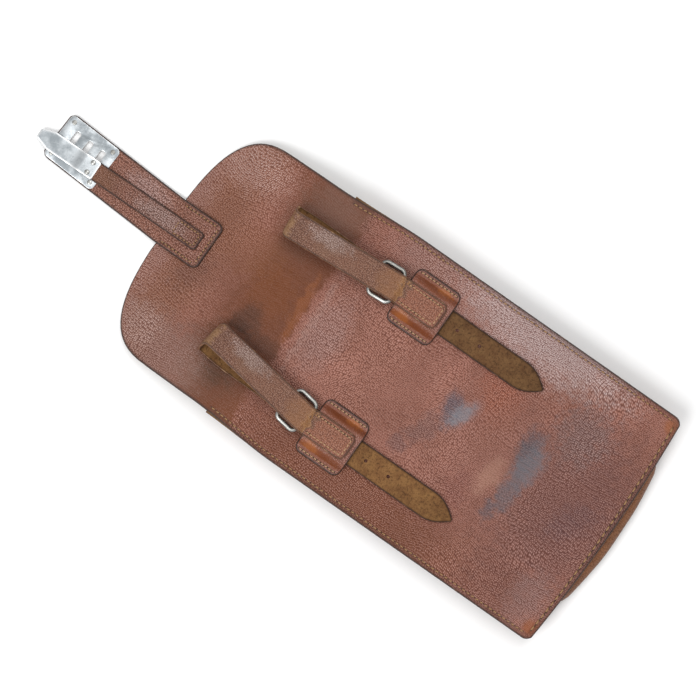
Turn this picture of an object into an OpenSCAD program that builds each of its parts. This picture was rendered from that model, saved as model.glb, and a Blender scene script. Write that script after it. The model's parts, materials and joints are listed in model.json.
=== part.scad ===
// Leather flight bag: a long flat document pouch lying on its front, flap open.
// +Y runs from the bottom seam to the flap, +X to the wearer's right seen from
// the back, +Z up out of the back panel. The origin is under the middle of the
// whole length, on the surface that the bag lies on.

/* [Pouch] */
// Width of the pouch over its side seams
pouch_w = 214; // [196:2:230]
// Length of the pouch from bottom seam to mouth
pouch_l = 315; // [300:5:330]
// Height of the pouch as it lies
pouch_t = 26; // [25:0.5:28]
// Rise of the front panel where the staple sits
front_rise = 9.2; // [9:0.1:9.6]
// Thickness of the sheet leather
sheet_t = 2.4; // [2:0.1:2.6]
// Thickness of the gusset leather
gusset_t = 1.8; // [1.4:0.1:2]
// Width of the seam that joins gusset and panels
seam_w = 7; // [6:0.5:9]
// How far the gusset bulges past the bottom seam
gusset_bulge = 12; // [8:1:14]
// Radius of the bottom corners
corner_r = 7; // [4:0.5:10]

/* [Flap] */
// Length of the strip that crosses the mouth when the bag is closed
bridge_l = 24; // [23.8:0.1:24.4]
// Width of the flap
flap_w = 205; // [190:1:208]
// Downward slope of the flap as it lies open
flap_slope = 13.45; // [13:0.05:14]
// Depth of the rounded end of the flap
flap_round = 55; // [40:1:60]

/* [Closure] */
// Width of the closure strap
closure_w = 42; // [40:0.5:44]
// Thickness of the closure strap
closure_t = 2.2; // [2:0.1:2.4]
// Length of the closure strap past the flap
closure_l = 114; // [112:0.5:116]
// Lean of the closure strap to the right
closure_lean = 2.9; // [0:0.1:3.5]
// Width of the hasp plate
hasp_w = 40; // [38:0.5:40]
// Length of the hasp plate
hasp_l = 49; // [48:0.5:50]
// Spacing of the hasp slots
slot_pitch = 12.4; // [12:0.1:12.6]
// Length of a hasp slot
slot_w = 22.6; // [22.4:0.1:23]
// Width of a hasp slot
slot_h = 4.7; // [4.6:0.1:5]
// Thickness of the hasp plate and the tongue plate
plate_t = 1; // [0.8:0.1:1.1]
// Width of the tongue plate
tongue_w = 16; // [15:0.5:16]
// Length of the tongue plate
tongue_l = 56; // [54:0.5:57]
// Thickness of the tongue strap
tongue_t = 1.8; // [1.6:0.1:1.8]
// Wire thickness of the staple
staple_d = 2.4; // [2:0.1:2.4]

/* [Strap loops] */
// Distance between the two keeper patches
keeper_gap = 126; // [120:1:130]
// Width of a keeper patch
keeper_w = 50; // [46:1:52]
// Width of the loop strap
strap_w = 23; // [20:0.5:23]
// Thickness of the loop strap
strap_t = 2; // [1.8:0.1:2]
// Reach of a loop past its buckle heel bar
loop_reach = 100.7; // [90:0.1:106]
// Lean of the left loop towards the middle
left_lean = 8.7; // [0:0.1:9]
// Lean of the right loop towards the middle
right_lean = 3.9; // [0:0.1:6]
// Length of the free strap tail
tail_l = 93.5; // [80:0.5:110]
// Wire thickness of the buckle frame
wire_d = 3.5; // [3:0.1:3.5]
// Width of the buckle frame
buckle_w = 32.5; // [32:0.1:34]
// Length of the buckle frame
buckle_l = 23; // [23:0.1:24]

/* [Hidden] */
$fn = 48;

gap = 0.3;
eps = 0.01;

// the pouch, from the bottom seam at bottom_y to the mouth at mouth_y
bottom_y = -271;
mouth_y = bottom_y + pouch_l;
back_z = pouch_t - sheet_t;
seam_land = 12;
rise_near = bottom_y + 85;
rise_far = mouth_y - 150;
front_slope = atan(front_rise / (mouth_y - rise_far));
bulge_half = 84;

// the flap, hung on two fold lines at the inner face of the leather
fold1 = [mouth_y + gap, back_z];
bridge_slope = flap_slope / 2;
fold2 = fold1 + bridge_l * [cos(bridge_slope), -sin(bridge_slope)];
flap_l = fold2.y / sin(flap_slope);

// the closure strap, hinged just past the flap's edge at its own middle
closure_x = 3.7;
base_gap = 1.5;
base_l = 41;
tongue_base_l = 31;
pivot_up = sheet_t + closure_t / 2;
pivot = fold2 + (flap_l + base_gap) * [cos(flap_slope), -sin(flap_slope)]
    + pivot_up * [sin(flap_slope), cos(flap_slope)];
burr_t = 0.5;
settle_l = 15;
closure_end = pivot.x + closure_l;
hasp_z = burr_t + closure_t;
hasp_end = closure_end - 1;
slot_mid = hasp_end - 25.5;
rivet_r = 2.15;
shank_r = 1.4;
hole_r = 1.45;

// the tongue strap lies on the closure strap
tongue_x = 2.8;
tongue_lean = -0.55;
tongue_pivot_y = pivot.x + 11;
tongue_lift = 0.2;
tongue_end = 283;
tongue_y0 = tongue_end - tongue_l;
tongue_strap_end = tongue_y0 + 12.5;

// where the hasp lands on the front panel when the flap is shut
shut_flap = [-cos(front_slope), sin(front_slope)];
shut_fold2 = [fold1.x, fold1.y - bridge_l];
shut_pivot = shut_fold2 + (flap_l + base_gap) * shut_flap
    + pivot_up * [-sin(front_slope), -cos(front_slope)];
staple_y = shut_pivot.x - (slot_mid - pivot.x);
staple_x = closure_x + (slot_mid - pivot.x) * tan(closure_lean);
staple_w = 21.4;
staple_half = (staple_w - staple_d) / 2;
staple_drop = front_rise - 0.25 - staple_d / 2;
staple_rivet_x = 14.5;
staple_plate_t = 0.8;
patch_t = 1.5;

// the loops: strap run on the back panel, chape, keeper patch, anchored strap end
keeper_top = -29.4;
keeper_bottom = -71.2;
run_z = pouch_t + gap;
keeper_t = 1.8;
heel_y = -24.3;
heel_r = wire_d / 2;
prong_r = 1;
chape_in = heel_r + gap;
chape_t = 1.35;
chape_r = chape_in + chape_t;
heel_z = run_z + strap_t + gap + chape_r;
keeper_up = run_z + strap_t + 2 * chape_t + 2 * gap - pouch_t;
anchor_z = pouch_t + keeper_up + keeper_t;
front_bar_y = heel_y + buckle_l - wire_d;
front_bar_z = run_z + 2 * prong_r + heel_r + 0.45;
loop_start = 4.5;
fold_r = 5.5;

leather = "#7a4436";
leather_dark = "#5e3a26";
leather_tan = "#8a5a34";
suede = "#7d6a4c";
thread = "#b08a5e";
steel = "#b9bcc0";

function unit(v) = v / norm(v);
function smooth(s) = let (c = max(0, min(1, s))) c * c * (3 - 2 * c);
function heading(p, i) = unit(p[min(i + 1, len(p) - 1)] - p[max(i - 1, 0)]);
function edge_of(p, d) = [for (i = [0:len(p) - 1]) p[i] + d * [-heading(p, i).y, heading(p, i).x]];
function reversed(p) = [for (i = [len(p) - 1:-1:0]) p[i]];
function shifted(p, dz) = [for (q = p) [q.x, q.y + dz]];

// A Y-Z outline drawn out to width w along X
module along_x(w) rotate([90, 0, 90]) linear_extrude(w, center = true) children();

// A strip of leather of thickness t that follows the Y-Z path p
module ribbon(p, t, w) along_x(w) polygon(concat(edge_of(p, t / 2), reversed(edge_of(p, -t / 2))));

module rounded(w, l, r) {
    translate([-w / 2 + r, 0]) square([w - 2 * r, l]);
    translate([-w / 2, r]) square([w, l - 2 * r]);
    for (x = [-1, 1], y = [r, l - r]) translate([x * (w / 2 - r), y]) circle(r);
}

// A row of stitches along +Y from y0 to y1, standing on the surface
module stitches(y0, y1, pitch, size = 0.9) {
    count = floor((y1 - y0) / pitch);
    for (i = [0:count - 1])
        translate([-size / 2, y0 + i * pitch + pitch * 0.15, 0]) cube([size, pitch * 0.7, size * 0.55]);
}

module dome(r, h) intersection() {
    big = (r * r + h * h) / (2 * h);
    translate([0, 0, h - big]) sphere(big);
    cylinder(h = h, r = r + eps);
}

// ---- pouch ----

// Outline of the two panels, open at the mouth
module panel_plan() {
    translate([-pouch_w / 2, bottom_y + corner_r]) square([pouch_w, pouch_l - corner_r]);
    translate([-pouch_w / 2 + corner_r, bottom_y]) square([pouch_w - 2 * corner_r, corner_r]);
    for (x = [-1, 1]) translate([x * (pouch_w / 2 - corner_r), bottom_y + corner_r]) circle(corner_r);
}

// Outline of the gusset wall's outer face, moved in by inset
module wall_plan(inset, past = 0) {
    half = pouch_w / 2 - seam_w - inset;
    base = bottom_y + seam_w + inset;
    rise = gusset_bulge + seam_w;
    r = (bulge_half * bulge_half + rise * rise) / (2 * rise);
    translate([-half, base]) square([2 * half, mouth_y - base + past]);
    intersection() {
        translate([0, base - rise + r]) circle(r, $fn = 200);
        translate([-bulge_half, base - rise]) square([2 * bulge_half, rise + eps]);
    }
}

// Outer face of the front panel, from bottom seam to mouth
front_line = [
    [bottom_y, 0], [bottom_y + seam_land, 0],
    [rise_near, front_rise], [rise_far, front_rise],
    [mouth_y, 0]
];

module front_profile(lift, t) polygon(concat(shifted(front_line, lift), reversed(shifted(front_line, lift + t))));

// Side view of the room between the panels, moved in by m at top and bottom
module room_profile(m) polygon(concat(
    [[-400, sheet_t + m], [bottom_y, sheet_t + m]],
    shifted(front_line, sheet_t + m),
    [[mouth_y + 50, sheet_t + m], [mouth_y + 50, back_z - m], [-400, back_z - m]]
));

module back_panel() {
    color(leather) translate([0, 0, back_z]) linear_extrude(sheet_t) panel_plan();
}

// Room for the papers: everything inside the gusset wall, under skins that close the bulge
module gusset_room() {
    translate([0, 0, -1]) linear_extrude(pouch_t + 2) intersection() {
        wall_plan(gusset_t, 5);
        translate([-pouch_w, bottom_y + seam_w + gusset_t]) square([2 * pouch_w, pouch_l + 20]);
    }
    intersection() {
        linear_extrude(pouch_t) wall_plan(gusset_t, 5);
        along_x(pouch_w) room_profile(gusset_t);
    }
}

// The channel outside the wall, between the two seam flanges
module gusset_channel() intersection() {
    difference() {
        translate([-pouch_w, -400, -1]) cube([2 * pouch_w, 800, pouch_t + 2]);
        translate([0, 0, -2]) linear_extrude(pouch_t + 4) wall_plan(0, 5);
    }
    along_x(pouch_w + 60) room_profile(gusset_t);
}

module gusset() {
    color(leather_tan) difference() {
        intersection() {
            linear_extrude(pouch_t) union() {
                panel_plan();
                wall_plan(0);
            }
            along_x(pouch_w + 40) room_profile(0);
        }
        gusset_room();
        gusset_channel();
    }
}

module seam_rows(pitch) {
    for (x = [-1, 1]) translate([x * (pouch_w / 2 - 4.5), 0, 0])
        stitches(bottom_y + 10, mouth_y - 1, pitch);
    translate([-(pouch_w / 2 - 8), bottom_y + 4.5, 0]) rotate([0, 0, -90])
        stitches(0, pouch_w - 16, pitch);
}

module back_thread() {
    color(thread) translate([0, 0, pouch_t]) seam_rows(7);
}

// ---- front panel and staple ----

module front_panel() {
    color(leather) difference() {
        intersection() {
            along_x(pouch_w) front_profile(0, sheet_t);
            translate([0, 0, -1]) linear_extrude(pouch_t) panel_plan();
        }
        at_staple() staple_holes();
    }
}

// Holes for the staple's legs and the two rivets beside it
module staple_holes() {
    for (x = [-1, 1]) {
        translate([x * staple_half, 0, -5]) cylinder(h = 10, r = staple_d / 2 + 0.02);
        translate([x * staple_rivet_x, 0, -5]) cylinder(h = 10, r = hole_r);
    }
}

// Frame of the staple: origin on the panel's outer face, -Z out of the bag
module at_staple() translate([staple_x, staple_y, front_rise]) rotate([0, 0, closure_lean]) children();

// Height of the front panel's outer face at y
function front_z(y) = lookup(y, front_line);

// The front seam's stitches, low on the outer face where it stands off the surface
module front_thread() {
    size = [0.8, 5, 0.2];
    off = 0.05;
    rows = [for (y = [bottom_y + seam_land + 12:7:mouth_y - 14])
        if (abs(y - rise_near) > 4 && abs(y - rise_far) > 4) y];
    color(thread) for (x = [-1, 1], y = rows)
        translate([x * (pouch_w / 2 - 4.5), y, front_z(y) - off])
            rotate([atan((front_z(y + 3) - front_z(y - 3)) / 6), 0, 0])
                translate([-size.x / 2, -size.y / 2, -size.z]) cube(size);
}

module staple_patch() {
    color(leather_dark) at_staple() difference() {
        translate([0, -12, sheet_t]) linear_extrude(patch_t) rounded(44, 24, 5);
        staple_holes();
    }
}

module staple_plate() {
    color(steel) at_staple() difference() {
        translate([0, -6, -staple_plate_t]) linear_extrude(staple_plate_t) rounded(36, 12, 3);
        staple_holes();
    }
}

// A bridge of wire whose legs pass through the plate, the panel and the patch
module staple() {
    bend = 3;
    legs = staple_drop - bend + sheet_t + patch_t;
    color(steel) at_staple() {
        for (x = [-1, 1]) translate([x * staple_half, 0, bend - staple_drop])
            cylinder(h = legs, r = staple_d / 2);
        for (a = [0, 180]) rotate([0, 0, a]) translate([staple_half - bend, 0, bend - staple_drop])
            rotate([-90, 0, 0]) rotate_extrude(angle = 90) translate([bend, 0]) circle(staple_d / 2);
        translate([-(staple_half - bend), 0, -staple_drop]) rotate([0, 90, 0])
            cylinder(h = 2 * (staple_half - bend), r = staple_d / 2);
    }
}

module staple_rivets() {
    through = staple_plate_t + sheet_t + patch_t;
    color(steel) at_staple() for (x = [-1, 1]) translate([x * staple_rivet_x, 0, -staple_plate_t]) {
        rotate([180, 0, 0]) dome(2.2, 0.8);
        translate([0, 0, -eps]) cylinder(h = through + eps, r = shank_r);
        translate([0, 0, through]) cylinder(h = 0.5, r = 2.6);
    }
}

// ---- flap ----

module flap_bridge() {
    color(leather_dark) translate([0, fold1.x, fold1.y]) rotate([-bridge_slope, 0, 0])
        translate([-flap_w / 2 - 1, 0, 0]) cube([flap_w + 2, bridge_l - gap, sheet_t]);
}

// Frame of the flap: origin on its fold line, +Y to its end, +Z out of its grain side
module on_flap() translate([0, fold2.x, fold2.y]) rotate([-flap_slope, 0, 0]) children();

function flap_edge(s) = flap_w / 2 * pow(1 - pow(abs(s), 3), 1 / 3);

module flap() {
    steps = 20;
    side = [for (i = [0:steps]) let (a = 90 * i / steps)
        [flap_w / 2 * pow(cos(a), 2 / 3), flap_l - flap_round + flap_round * pow(sin(a), 2 / 3)]];
    color(leather) on_flap() linear_extrude(sheet_t) polygon(concat(
        [[-flap_w / 2 - 0.5, gap], [flap_w / 2 + 0.5, gap]], side,
        [for (i = [steps - 1:-1:0]) [-side[i].x, side[i].y]]
    ));
}

module closure_base() {
    color(leather) on_flap() translate([closure_x, flap_l - base_l, sheet_t]) linear_extrude(closure_t) {
        translate([0, 6]) translate([-closure_w / 2, 0]) square([closure_w, base_l - 6 - 0.2]);
        translate([-closure_w / 2 + 6, 0]) square([closure_w - 12, 6.5]);
        for (x = [-1, 1]) translate([x * (closure_w / 2 - 6), 6]) circle(6);
    }
}

module closure_thread() {
    color(thread) on_flap() translate([closure_x, flap_l - base_l, sheet_t + closure_t]) {
        for (x = [-1, 1]) translate([x * (closure_w / 2 - 3.5), 5, 0]) stitches(0, base_l - 8, 4);
        translate([-13, 3.5, 0]) rotate([0, 0, -90]) stitches(0, 26, 4);
    }
}

module tongue_base() {
    color(leather) on_flap() translate([tongue_x, flap_l - tongue_base_l, sheet_t + closure_t])
        linear_extrude(tongue_t) {
            translate([-tongue_w / 2, 3]) square([tongue_w, tongue_base_l - 3 - 1]);
            translate([-tongue_w / 2 + 3, 0]) square([tongue_w - 6, 3.5]);
            for (x = [-1, 1]) translate([x * (tongue_w / 2 - 3), 3]) circle(3);
        }
}

module tongue_thread() {
    color(thread) on_flap()
        translate([tongue_x, flap_l - tongue_base_l, sheet_t + closure_t + tongue_t]) {
            for (x = [-1, 1]) translate([x * (tongue_w / 2 - 2.8), 3, 0]) stitches(0, 20, 3.3, 0.8);
            translate([-4.5, 2.8, 0]) rotate([0, 0, -90]) stitches(0, 9, 3, 0.8);
            translate([-4.5, 23, 0]) rotate([0, 0, -90]) stitches(0, 9, 3, 0.8);
        }
}

// ---- closure strap and hasp ----

// Height of the closure strap's middle over the surface, at y
function closure_mid(y) = let (low = burr_t + closure_t / 2)
    low + (pivot.y - low) * (1 - smooth((y - pivot.x) / settle_l));

// Height of the tongue strap's middle, which climbs over the hasp plate's edge
function tongue_mid(y) = closure_mid(y) + closure_t / 2 + tongue_lift + tongue_t / 2
    + plate_t * smooth((y - (hasp_end - hasp_l) + 7) / 6);

function line_of(y0, y1, steps) = [for (i = [0:steps]) y0 + (y1 - y0) * i / steps];

// Frame of the closure strap seen from above: origin on the pivot line
module at_closure() translate([closure_x, pivot.x, 0]) rotate([0, 0, -closure_lean]) children();

module closure_plan(l, r) {
    translate([-closure_w / 2, 1]) square([closure_w, l - r - 1]);
    translate([-closure_w / 2 + r, l - r - 1]) square([closure_w - 2 * r, r + 1]);
    for (x = [-1, 1]) translate([x * (closure_w / 2 - r), l - r]) circle(r);
}

module hasp_slots(h) {
    for (i = [-1:1]) translate([-slot_w / 2, slot_mid - pivot.x + i * slot_pitch - slot_h / 2, -1])
        cube([slot_w, slot_h, h]);
}

// The four rivet places at the corners of the hasp plate
module hasp_corners() {
    mid = hasp_end - hasp_l / 2 - pivot.x;
    for (x = [-1, 1], y = [-1, 1])
        translate([x * (hasp_w / 2 - 4.7), mid + y * (hasp_l / 2 - 5), 0]) children();
}

module closure_strap() {
    path = [for (y = concat(line_of(1, settle_l, 14), line_of(settle_l + 10, closure_l, 2)))
        [y, closure_mid(pivot.x + y)]];
    color(leather) at_closure() difference() {
        intersection() {
            ribbon(path, closure_t, closure_w);
            translate([0, 0, -5]) linear_extrude(20) closure_plan(closure_l, 5);
        }
        hasp_slots(10);
        hasp_corners() translate([0, 0, -1]) cylinder(h = 10, r = hole_r);
    }
}

// The short stretches that bend where the two straps leave the flap
module closure_bend() {
    inset = 0.3;
    color(leather) {
        at_closure() translate([5 - closure_w / 2, -0.5, pivot.y - closure_t / 2 + inset])
            cube([closure_w - 10, 1.1, closure_t - 2 * inset]);
        translate([tongue_x - tongue_w / 2 + 1, pivot.x - 1, pivot.y + closure_t / 2 + inset])
            cube([tongue_w - 2, 2, tongue_t - 2 * inset]);
    }
}

module hasp_plate() {
    color(steel) at_closure() translate([0, 0, hasp_z]) difference() {
        translate([0, hasp_end - hasp_l - pivot.x, 0]) linear_extrude(plate_t) rounded(hasp_w, hasp_l, 4);
        hasp_slots(5);
        hasp_corners() translate([0, 0, -1]) cylinder(h = 5, r = hole_r);
    }
}

module hasp_rivets() {
    color(steel) at_closure() hasp_corners() {
        translate([0, 0, hasp_z + plate_t]) dome(rivet_r, 0.18);
        translate([0, 0, burr_t - eps]) cylinder(h = hasp_z + plate_t - burr_t + eps, r = shank_r);
    }
}

module hasp_burrs() {
    color(steel) at_closure() hasp_corners() cylinder(h = burr_t - eps, r = 2.4);
}

// ---- tongue ----

module at_tongue() translate([tongue_x, pivot.x, 0]) rotate([0, 0, -tongue_lean]) children();

module tongue_run() {
    path = [for (y = line_of(1.6, tongue_pivot_y - pivot.x - 1.4, 8)) [y, tongue_mid(pivot.x + y)]];
    color(leather) at_tongue() ribbon(path, tongue_t, tongue_w);
}

module tongue_bend() {
    y0 = tongue_pivot_y - pivot.x;
    path = [for (y = line_of(y0 - 1.2, y0 + 1.2, 3)) [y, tongue_mid(pivot.x + y)]];
    color(leather) at_tongue() ribbon(path, tongue_t - 0.2, tongue_w - 1);
}

module tongue_strap() {
    y0 = tongue_pivot_y - pivot.x + 1.4;
    path = [for (y = line_of(y0, tongue_strap_end - pivot.x, 26)) [y, tongue_mid(pivot.x + y)]];
    color(leather) at_tongue() difference() {
        ribbon(path, tongue_t, tongue_w);
        tongue_holes();
    }
}

module tongue_holes() for (x = [-1, 1])
    translate([x * 4.55, tongue_y0 + 6 - pivot.x, 0]) cylinder(h = 12, r = hole_r);

// Height of the tongue plate's middle: on the strap, then stepped down to the hasp
function plate_mid(y) = tongue_mid(300) + (tongue_t + plate_t) / 2
    - tongue_t * smooth((y - tongue_strap_end - 0.4) / 4);

module tongue_plate() {
    start = tongue_y0 - pivot.x;
    end = tongue_end - pivot.x;
    taper = 12;
    path = [for (y = concat([start], line_of(start + 12.5, start + 17.5, 8), [end]))
        [y, plate_mid(pivot.x + y)]];
    color(steel) at_tongue() difference() {
        intersection() {
            ribbon(path, plate_t, tongue_w);
            linear_extrude(20) {
                translate([-tongue_w / 2, start + 2]) square([tongue_w, end - start - taper - 2]);
                translate([-tongue_w / 2 + 2, start]) square([tongue_w - 4, 2.5]);
                for (x = [-1, 1]) translate([x * (tongue_w / 2 - 2), start + 2]) circle(2);
                polygon([
                    [-tongue_w / 2, end - taper - 1], [-tongue_w / 2, end - taper],
                    [-3.8, end], [3.8, end],
                    [tongue_w / 2, end - taper], [tongue_w / 2, end - taper - 1]
                ]);
            }
        }
        tongue_holes();
    }
}

module tongue_rivets() {
    top = plate_mid(tongue_y0) + plate_t / 2;
    color(steel) at_tongue() for (x = [-1, 1])
        translate([x * 4.55, tongue_y0 + 6 - pivot.x, 0]) {
            translate([0, 0, top]) dome(rivet_r, 0.9);
            translate([0, 0, top - plate_t - tongue_t]) cylinder(h = plate_t + tongue_t + eps, r = shank_r);
        }
}

// ---- strap loops ----

function side_x(s) = s * keeper_gap / 2;
function lean(s) = s < 0 ? -left_lean : right_lean;

// Frame of one side's keeper: origin on the panel, at the middle of its width
module at_side(s) translate([side_x(s), 0, 0]) children();

// Frame of a loop: turned about the middle of its heel bar
module at_heel(s) translate([side_x(s), heel_y, 0]) rotate([0, 0, lean(s)]) children();

function keeper_height(x) = keeper_up * (1 - smooth((abs(x) - strap_w / 2 - 0.9) / 6.5));

module keeper(s) {
    half = keeper_w / 2;
    across = [for (x = line_of(-half, half, 50)) [x, pouch_t + keeper_height(x)]];
    color(leather_tan) at_side(s) intersection() {
        translate([0, keeper_top, 0]) rotate([90, 0, 0]) linear_extrude(keeper_top - keeper_bottom)
            polygon(concat(shifted(across, keeper_t), reversed(across)));
        translate([0, keeper_bottom, 0]) linear_extrude(60) rounded(keeper_w, keeper_top - keeper_bottom, 6);
    }
}

module keeper_thread(s) {
    color(thread) at_side(s) for (x = [-1, 1])
        translate([x * (keeper_w / 2 - 3.2), 0, pouch_t + keeper_t]) stitches(keeper_bottom + 5, keeper_top - 4, 4.2);
}

module strap_anchor(s) {
    l = 38;
    color(leather) at_side(s) translate([0, keeper_top - l, anchor_z]) linear_extrude(strap_t) {
        translate([-strap_w / 2, 5]) square([strap_w, l - 5]);
        translate([-strap_w / 2 + 5, 0]) square([strap_w - 10, 5.5]);
        for (x = [-1, 1]) translate([x * (strap_w / 2 - 5), 5]) circle(5);
    }
}

module anchor_thread(s) {
    color(thread) at_side(s) for (x = [-1, 1])
        translate([x * (strap_w / 2 - 3.6), 0, anchor_z + strap_t]) stitches(keeper_top - 34, keeper_top - 2, 4);
}

// Leather loop that holds the heel bar, its two layers tucked under the keeper patch
module chape(s) {
    color(leather_dark) at_heel(s) difference() {
        union() {
            translate([-7, 0, heel_z]) rotate([0, 90, 0]) cylinder(h = 14, r = chape_r);
            translate([-7, -18, heel_z - chape_r]) cube([14, 18, 2 * chape_t]);
        }
        translate([-8, 0, heel_z]) rotate([0, 90, 0]) cylinder(h = 16, r = chape_in);
        translate([-2.5, -5, 0]) cube([5, 20, 60]);
    }
}

module strap_run(s) {
    color(leather) at_side(s) translate([-strap_w / 2, keeper_bottom - 1, run_z])
        cube([strap_w, heel_y - 2.2 - keeper_bottom + 1, strap_t]);
}

loop_top_z = heel_z + 5.3;
fold_y = loop_reach - fold_r - strap_t / 2;
fold_z = run_z + strap_t / 2 + 0.1 + fold_r;

// Height of the loop strap's lower layer, over the front bar and under the heel bar
function lower_mid(y) = let (bar = front_bar_y - heel_y, over = front_bar_z + heel_r + 0.1 + strap_t / 2,
    low = run_z + strap_t / 2)
    y > bar ? low + 0.1 + (over - low - 0.1) * smooth((bar + 25 - y) / 25)
            : low + (over - low) * (1 - smooth((bar - y) / (bar - 3.5)));

module loop_strap(s) {
    upper = [for (y = line_of(loop_start, fold_y, 12))
        [y, loop_top_z + (fold_z + fold_r - loop_top_z) * smooth(y / fold_y)]];
    turn = [for (a = line_of(80, -80, 14)) [fold_y + fold_r * cos(a), fold_z + fold_r * sin(a)]];
    lower = [for (y = concat([fold_y, fold_y - 25], line_of(front_bar_y - heel_y + 25, 0.3, 30)))
        [y, lower_mid(y)]];
    color(leather) at_heel(s) difference() {
        ribbon(concat(upper, turn, lower), strap_t, strap_w);
        translate([-2, 2.5, 0]) cube([4, 13, loop_top_z - strap_t]);
    }
}

module strap_bend(s) {
    y0 = keeper_top - heel_y;
    path = [for (y = line_of(y0 + 1.2, loop_start - 1, 8))
        [y, anchor_z + strap_t / 2 + (loop_top_z - anchor_z - strap_t / 2) * smooth((y - y0) / (-1 - y0))]];
    color(leather_tan) at_side(s) translate([0, heel_y, 0]) rotate([0, 0, lean(s) / 2])
        ribbon(path, strap_t, strap_w - 1);
}

module buckle_frame(s) {
    r = 6 - heel_r;
    half = buckle_w / 2 - heel_r;
    depth = buckle_l - wire_d;
    tilt = atan((front_bar_z - heel_z) / depth);
    color(steel) at_heel(s) translate([0, 0, heel_z]) rotate([tilt, 0, 0]) {
        for (y = [0, depth]) translate([-(half - r), y, 0]) rotate([0, 90, 0])
            cylinder(h = 2 * (half - r), r = heel_r);
        for (x = [-half, half]) translate([x, r, 0]) rotate([-90, 0, 0])
            cylinder(h = depth - 2 * r, r = heel_r);
        for (x = [0, 1], y = [0, 1]) translate([(x * 2 - 1) * (half - r), y ? depth - r : r, 0])
            rotate([0, 0, x ? (y ? 0 : -90) : (y ? 90 : 180)])
                rotate_extrude(angle = 90) translate([r, 0]) circle(heel_r);
    }
}

// An eye on the heel bar and a straight pin that ends under the front bar
module buckle_prong(s) {
    start = [2.2, heel_z - prong_r];
    tip = [front_bar_y - heel_y + 1.5, run_z + prong_r];
    run = tip - start;
    color(steel) at_heel(s) {
        translate([-1.6, 0, heel_z]) rotate([0, 90, 0]) difference() {
            cylinder(h = 3.2, r = heel_r + 1.05);
            translate([0, 0, -1]) cylinder(h = 6, r = heel_r + 0.05);
        }
        translate([0, start.x, start.y]) rotate([-90 - atan(-run.y / run.x), 0, 0])
            cylinder(h = norm(run), r = prong_r);
    }
}

module strap_tail(s) {
    point_l = 24;
    half = strap_w / 2;
    ogive = (point_l * point_l + half * half) / (2 * half);
    y0 = keeper_bottom - 1.3;
    color(suede) at_side(s) translate([0, 0, run_z]) linear_extrude(strap_t) difference() {
        union() {
            translate([-half, y0 - (tail_l - point_l)]) square([strap_w, tail_l - point_l]);
            intersection() {
                pointed(ogive, half, y0 - tail_l + point_l);
                translate([-half, y0 - tail_l]) square([strap_w, point_l + eps]);
            }
        }
        for (y = [10, 31.6]) translate([0, y0 - y]) circle(1.6);
    }
}

// Two circles that cross in a point, as wide as 2 * half at y
module pointed(r, half, y) intersection() {
    translate([r - half, y]) circle(r, $fn = 96);
    translate([half - r, y]) circle(r, $fn = 96);
}

back_panel();
gusset();
back_thread();
keeper(-1);  // keeper_left
keeper(1);  // keeper_right
keeper_thread(-1);  // keeper_thread_left
keeper_thread(1);  // keeper_thread_right
strap_anchor(-1);  // strap_anchor_left
strap_anchor(1);  // strap_anchor_right
anchor_thread(-1);  // anchor_thread_left
anchor_thread(1);  // anchor_thread_right
chape(-1);  // chape_left
chape(1);  // chape_right
strap_run(-1);  // strap_run_left
strap_run(1);  // strap_run_right
strap_bend(-1);  // strap_bend_left
strap_bend(1);  // strap_bend_right
front_panel();
front_thread();
staple_patch();
staple_plate();
staple();
staple_rivets();
flap_bridge();
flap();
closure_base();
closure_thread();
tongue_base();
tongue_thread();
closure_strap();
closure_bend();
hasp_plate();
hasp_rivets();
hasp_burrs();
tongue_run();
tongue_strap();
tongue_bend();
tongue_plate();
tongue_rivets();
loop_strap(-1);  // loop_strap_left
loop_strap(1);  // loop_strap_right
buckle_frame(-1);  // buckle_frame_left
buckle_frame(1);  // buckle_frame_right
buckle_prong(-1);  // buckle_prong_left
buckle_prong(1);  // buckle_prong_right
strap_tail(-1);  // strap_tail_left
strap_tail(1);  // strap_tail_right
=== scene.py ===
import bpy
import bmesh
import json
import math
import random
import numpy as np
from mathutils import Matrix, Vector, noise


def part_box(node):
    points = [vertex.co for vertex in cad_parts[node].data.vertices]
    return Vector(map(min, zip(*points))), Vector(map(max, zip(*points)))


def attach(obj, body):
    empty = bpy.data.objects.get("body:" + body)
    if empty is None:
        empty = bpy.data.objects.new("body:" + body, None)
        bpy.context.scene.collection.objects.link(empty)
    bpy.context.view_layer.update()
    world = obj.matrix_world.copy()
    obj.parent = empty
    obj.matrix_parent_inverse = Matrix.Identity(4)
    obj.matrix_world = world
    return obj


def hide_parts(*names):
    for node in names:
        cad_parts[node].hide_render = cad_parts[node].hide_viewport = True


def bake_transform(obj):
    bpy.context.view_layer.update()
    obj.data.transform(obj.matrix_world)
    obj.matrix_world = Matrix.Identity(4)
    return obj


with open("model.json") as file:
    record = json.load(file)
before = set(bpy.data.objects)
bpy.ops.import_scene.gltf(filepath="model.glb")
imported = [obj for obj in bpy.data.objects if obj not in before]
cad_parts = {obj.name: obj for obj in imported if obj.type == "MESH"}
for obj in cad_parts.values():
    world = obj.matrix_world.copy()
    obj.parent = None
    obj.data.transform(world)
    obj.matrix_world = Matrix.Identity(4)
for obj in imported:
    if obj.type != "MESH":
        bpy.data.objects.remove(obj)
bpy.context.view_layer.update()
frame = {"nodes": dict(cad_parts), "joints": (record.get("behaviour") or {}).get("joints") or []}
print("frame loaded")

# everything below is worked out in millimetres and written to the meshes in metres
mm = 0.001
dice = random.Random(27)
joints = {joint["name"]: joint for joint in frame["joints"]}


def nodeBox(node):
    low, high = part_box(node)
    return np.array(low) / mm, np.array(high) / mm


def pivotOf(joint):
    return np.array(joints[joint]["pos_m"]) / mm


def smooth(t):
    t = np.clip(t, 0, 1)
    return t * t * (3 - 2 * t)


def bell(distance, width):
    return np.exp(-(distance / width) ** 2)


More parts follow.
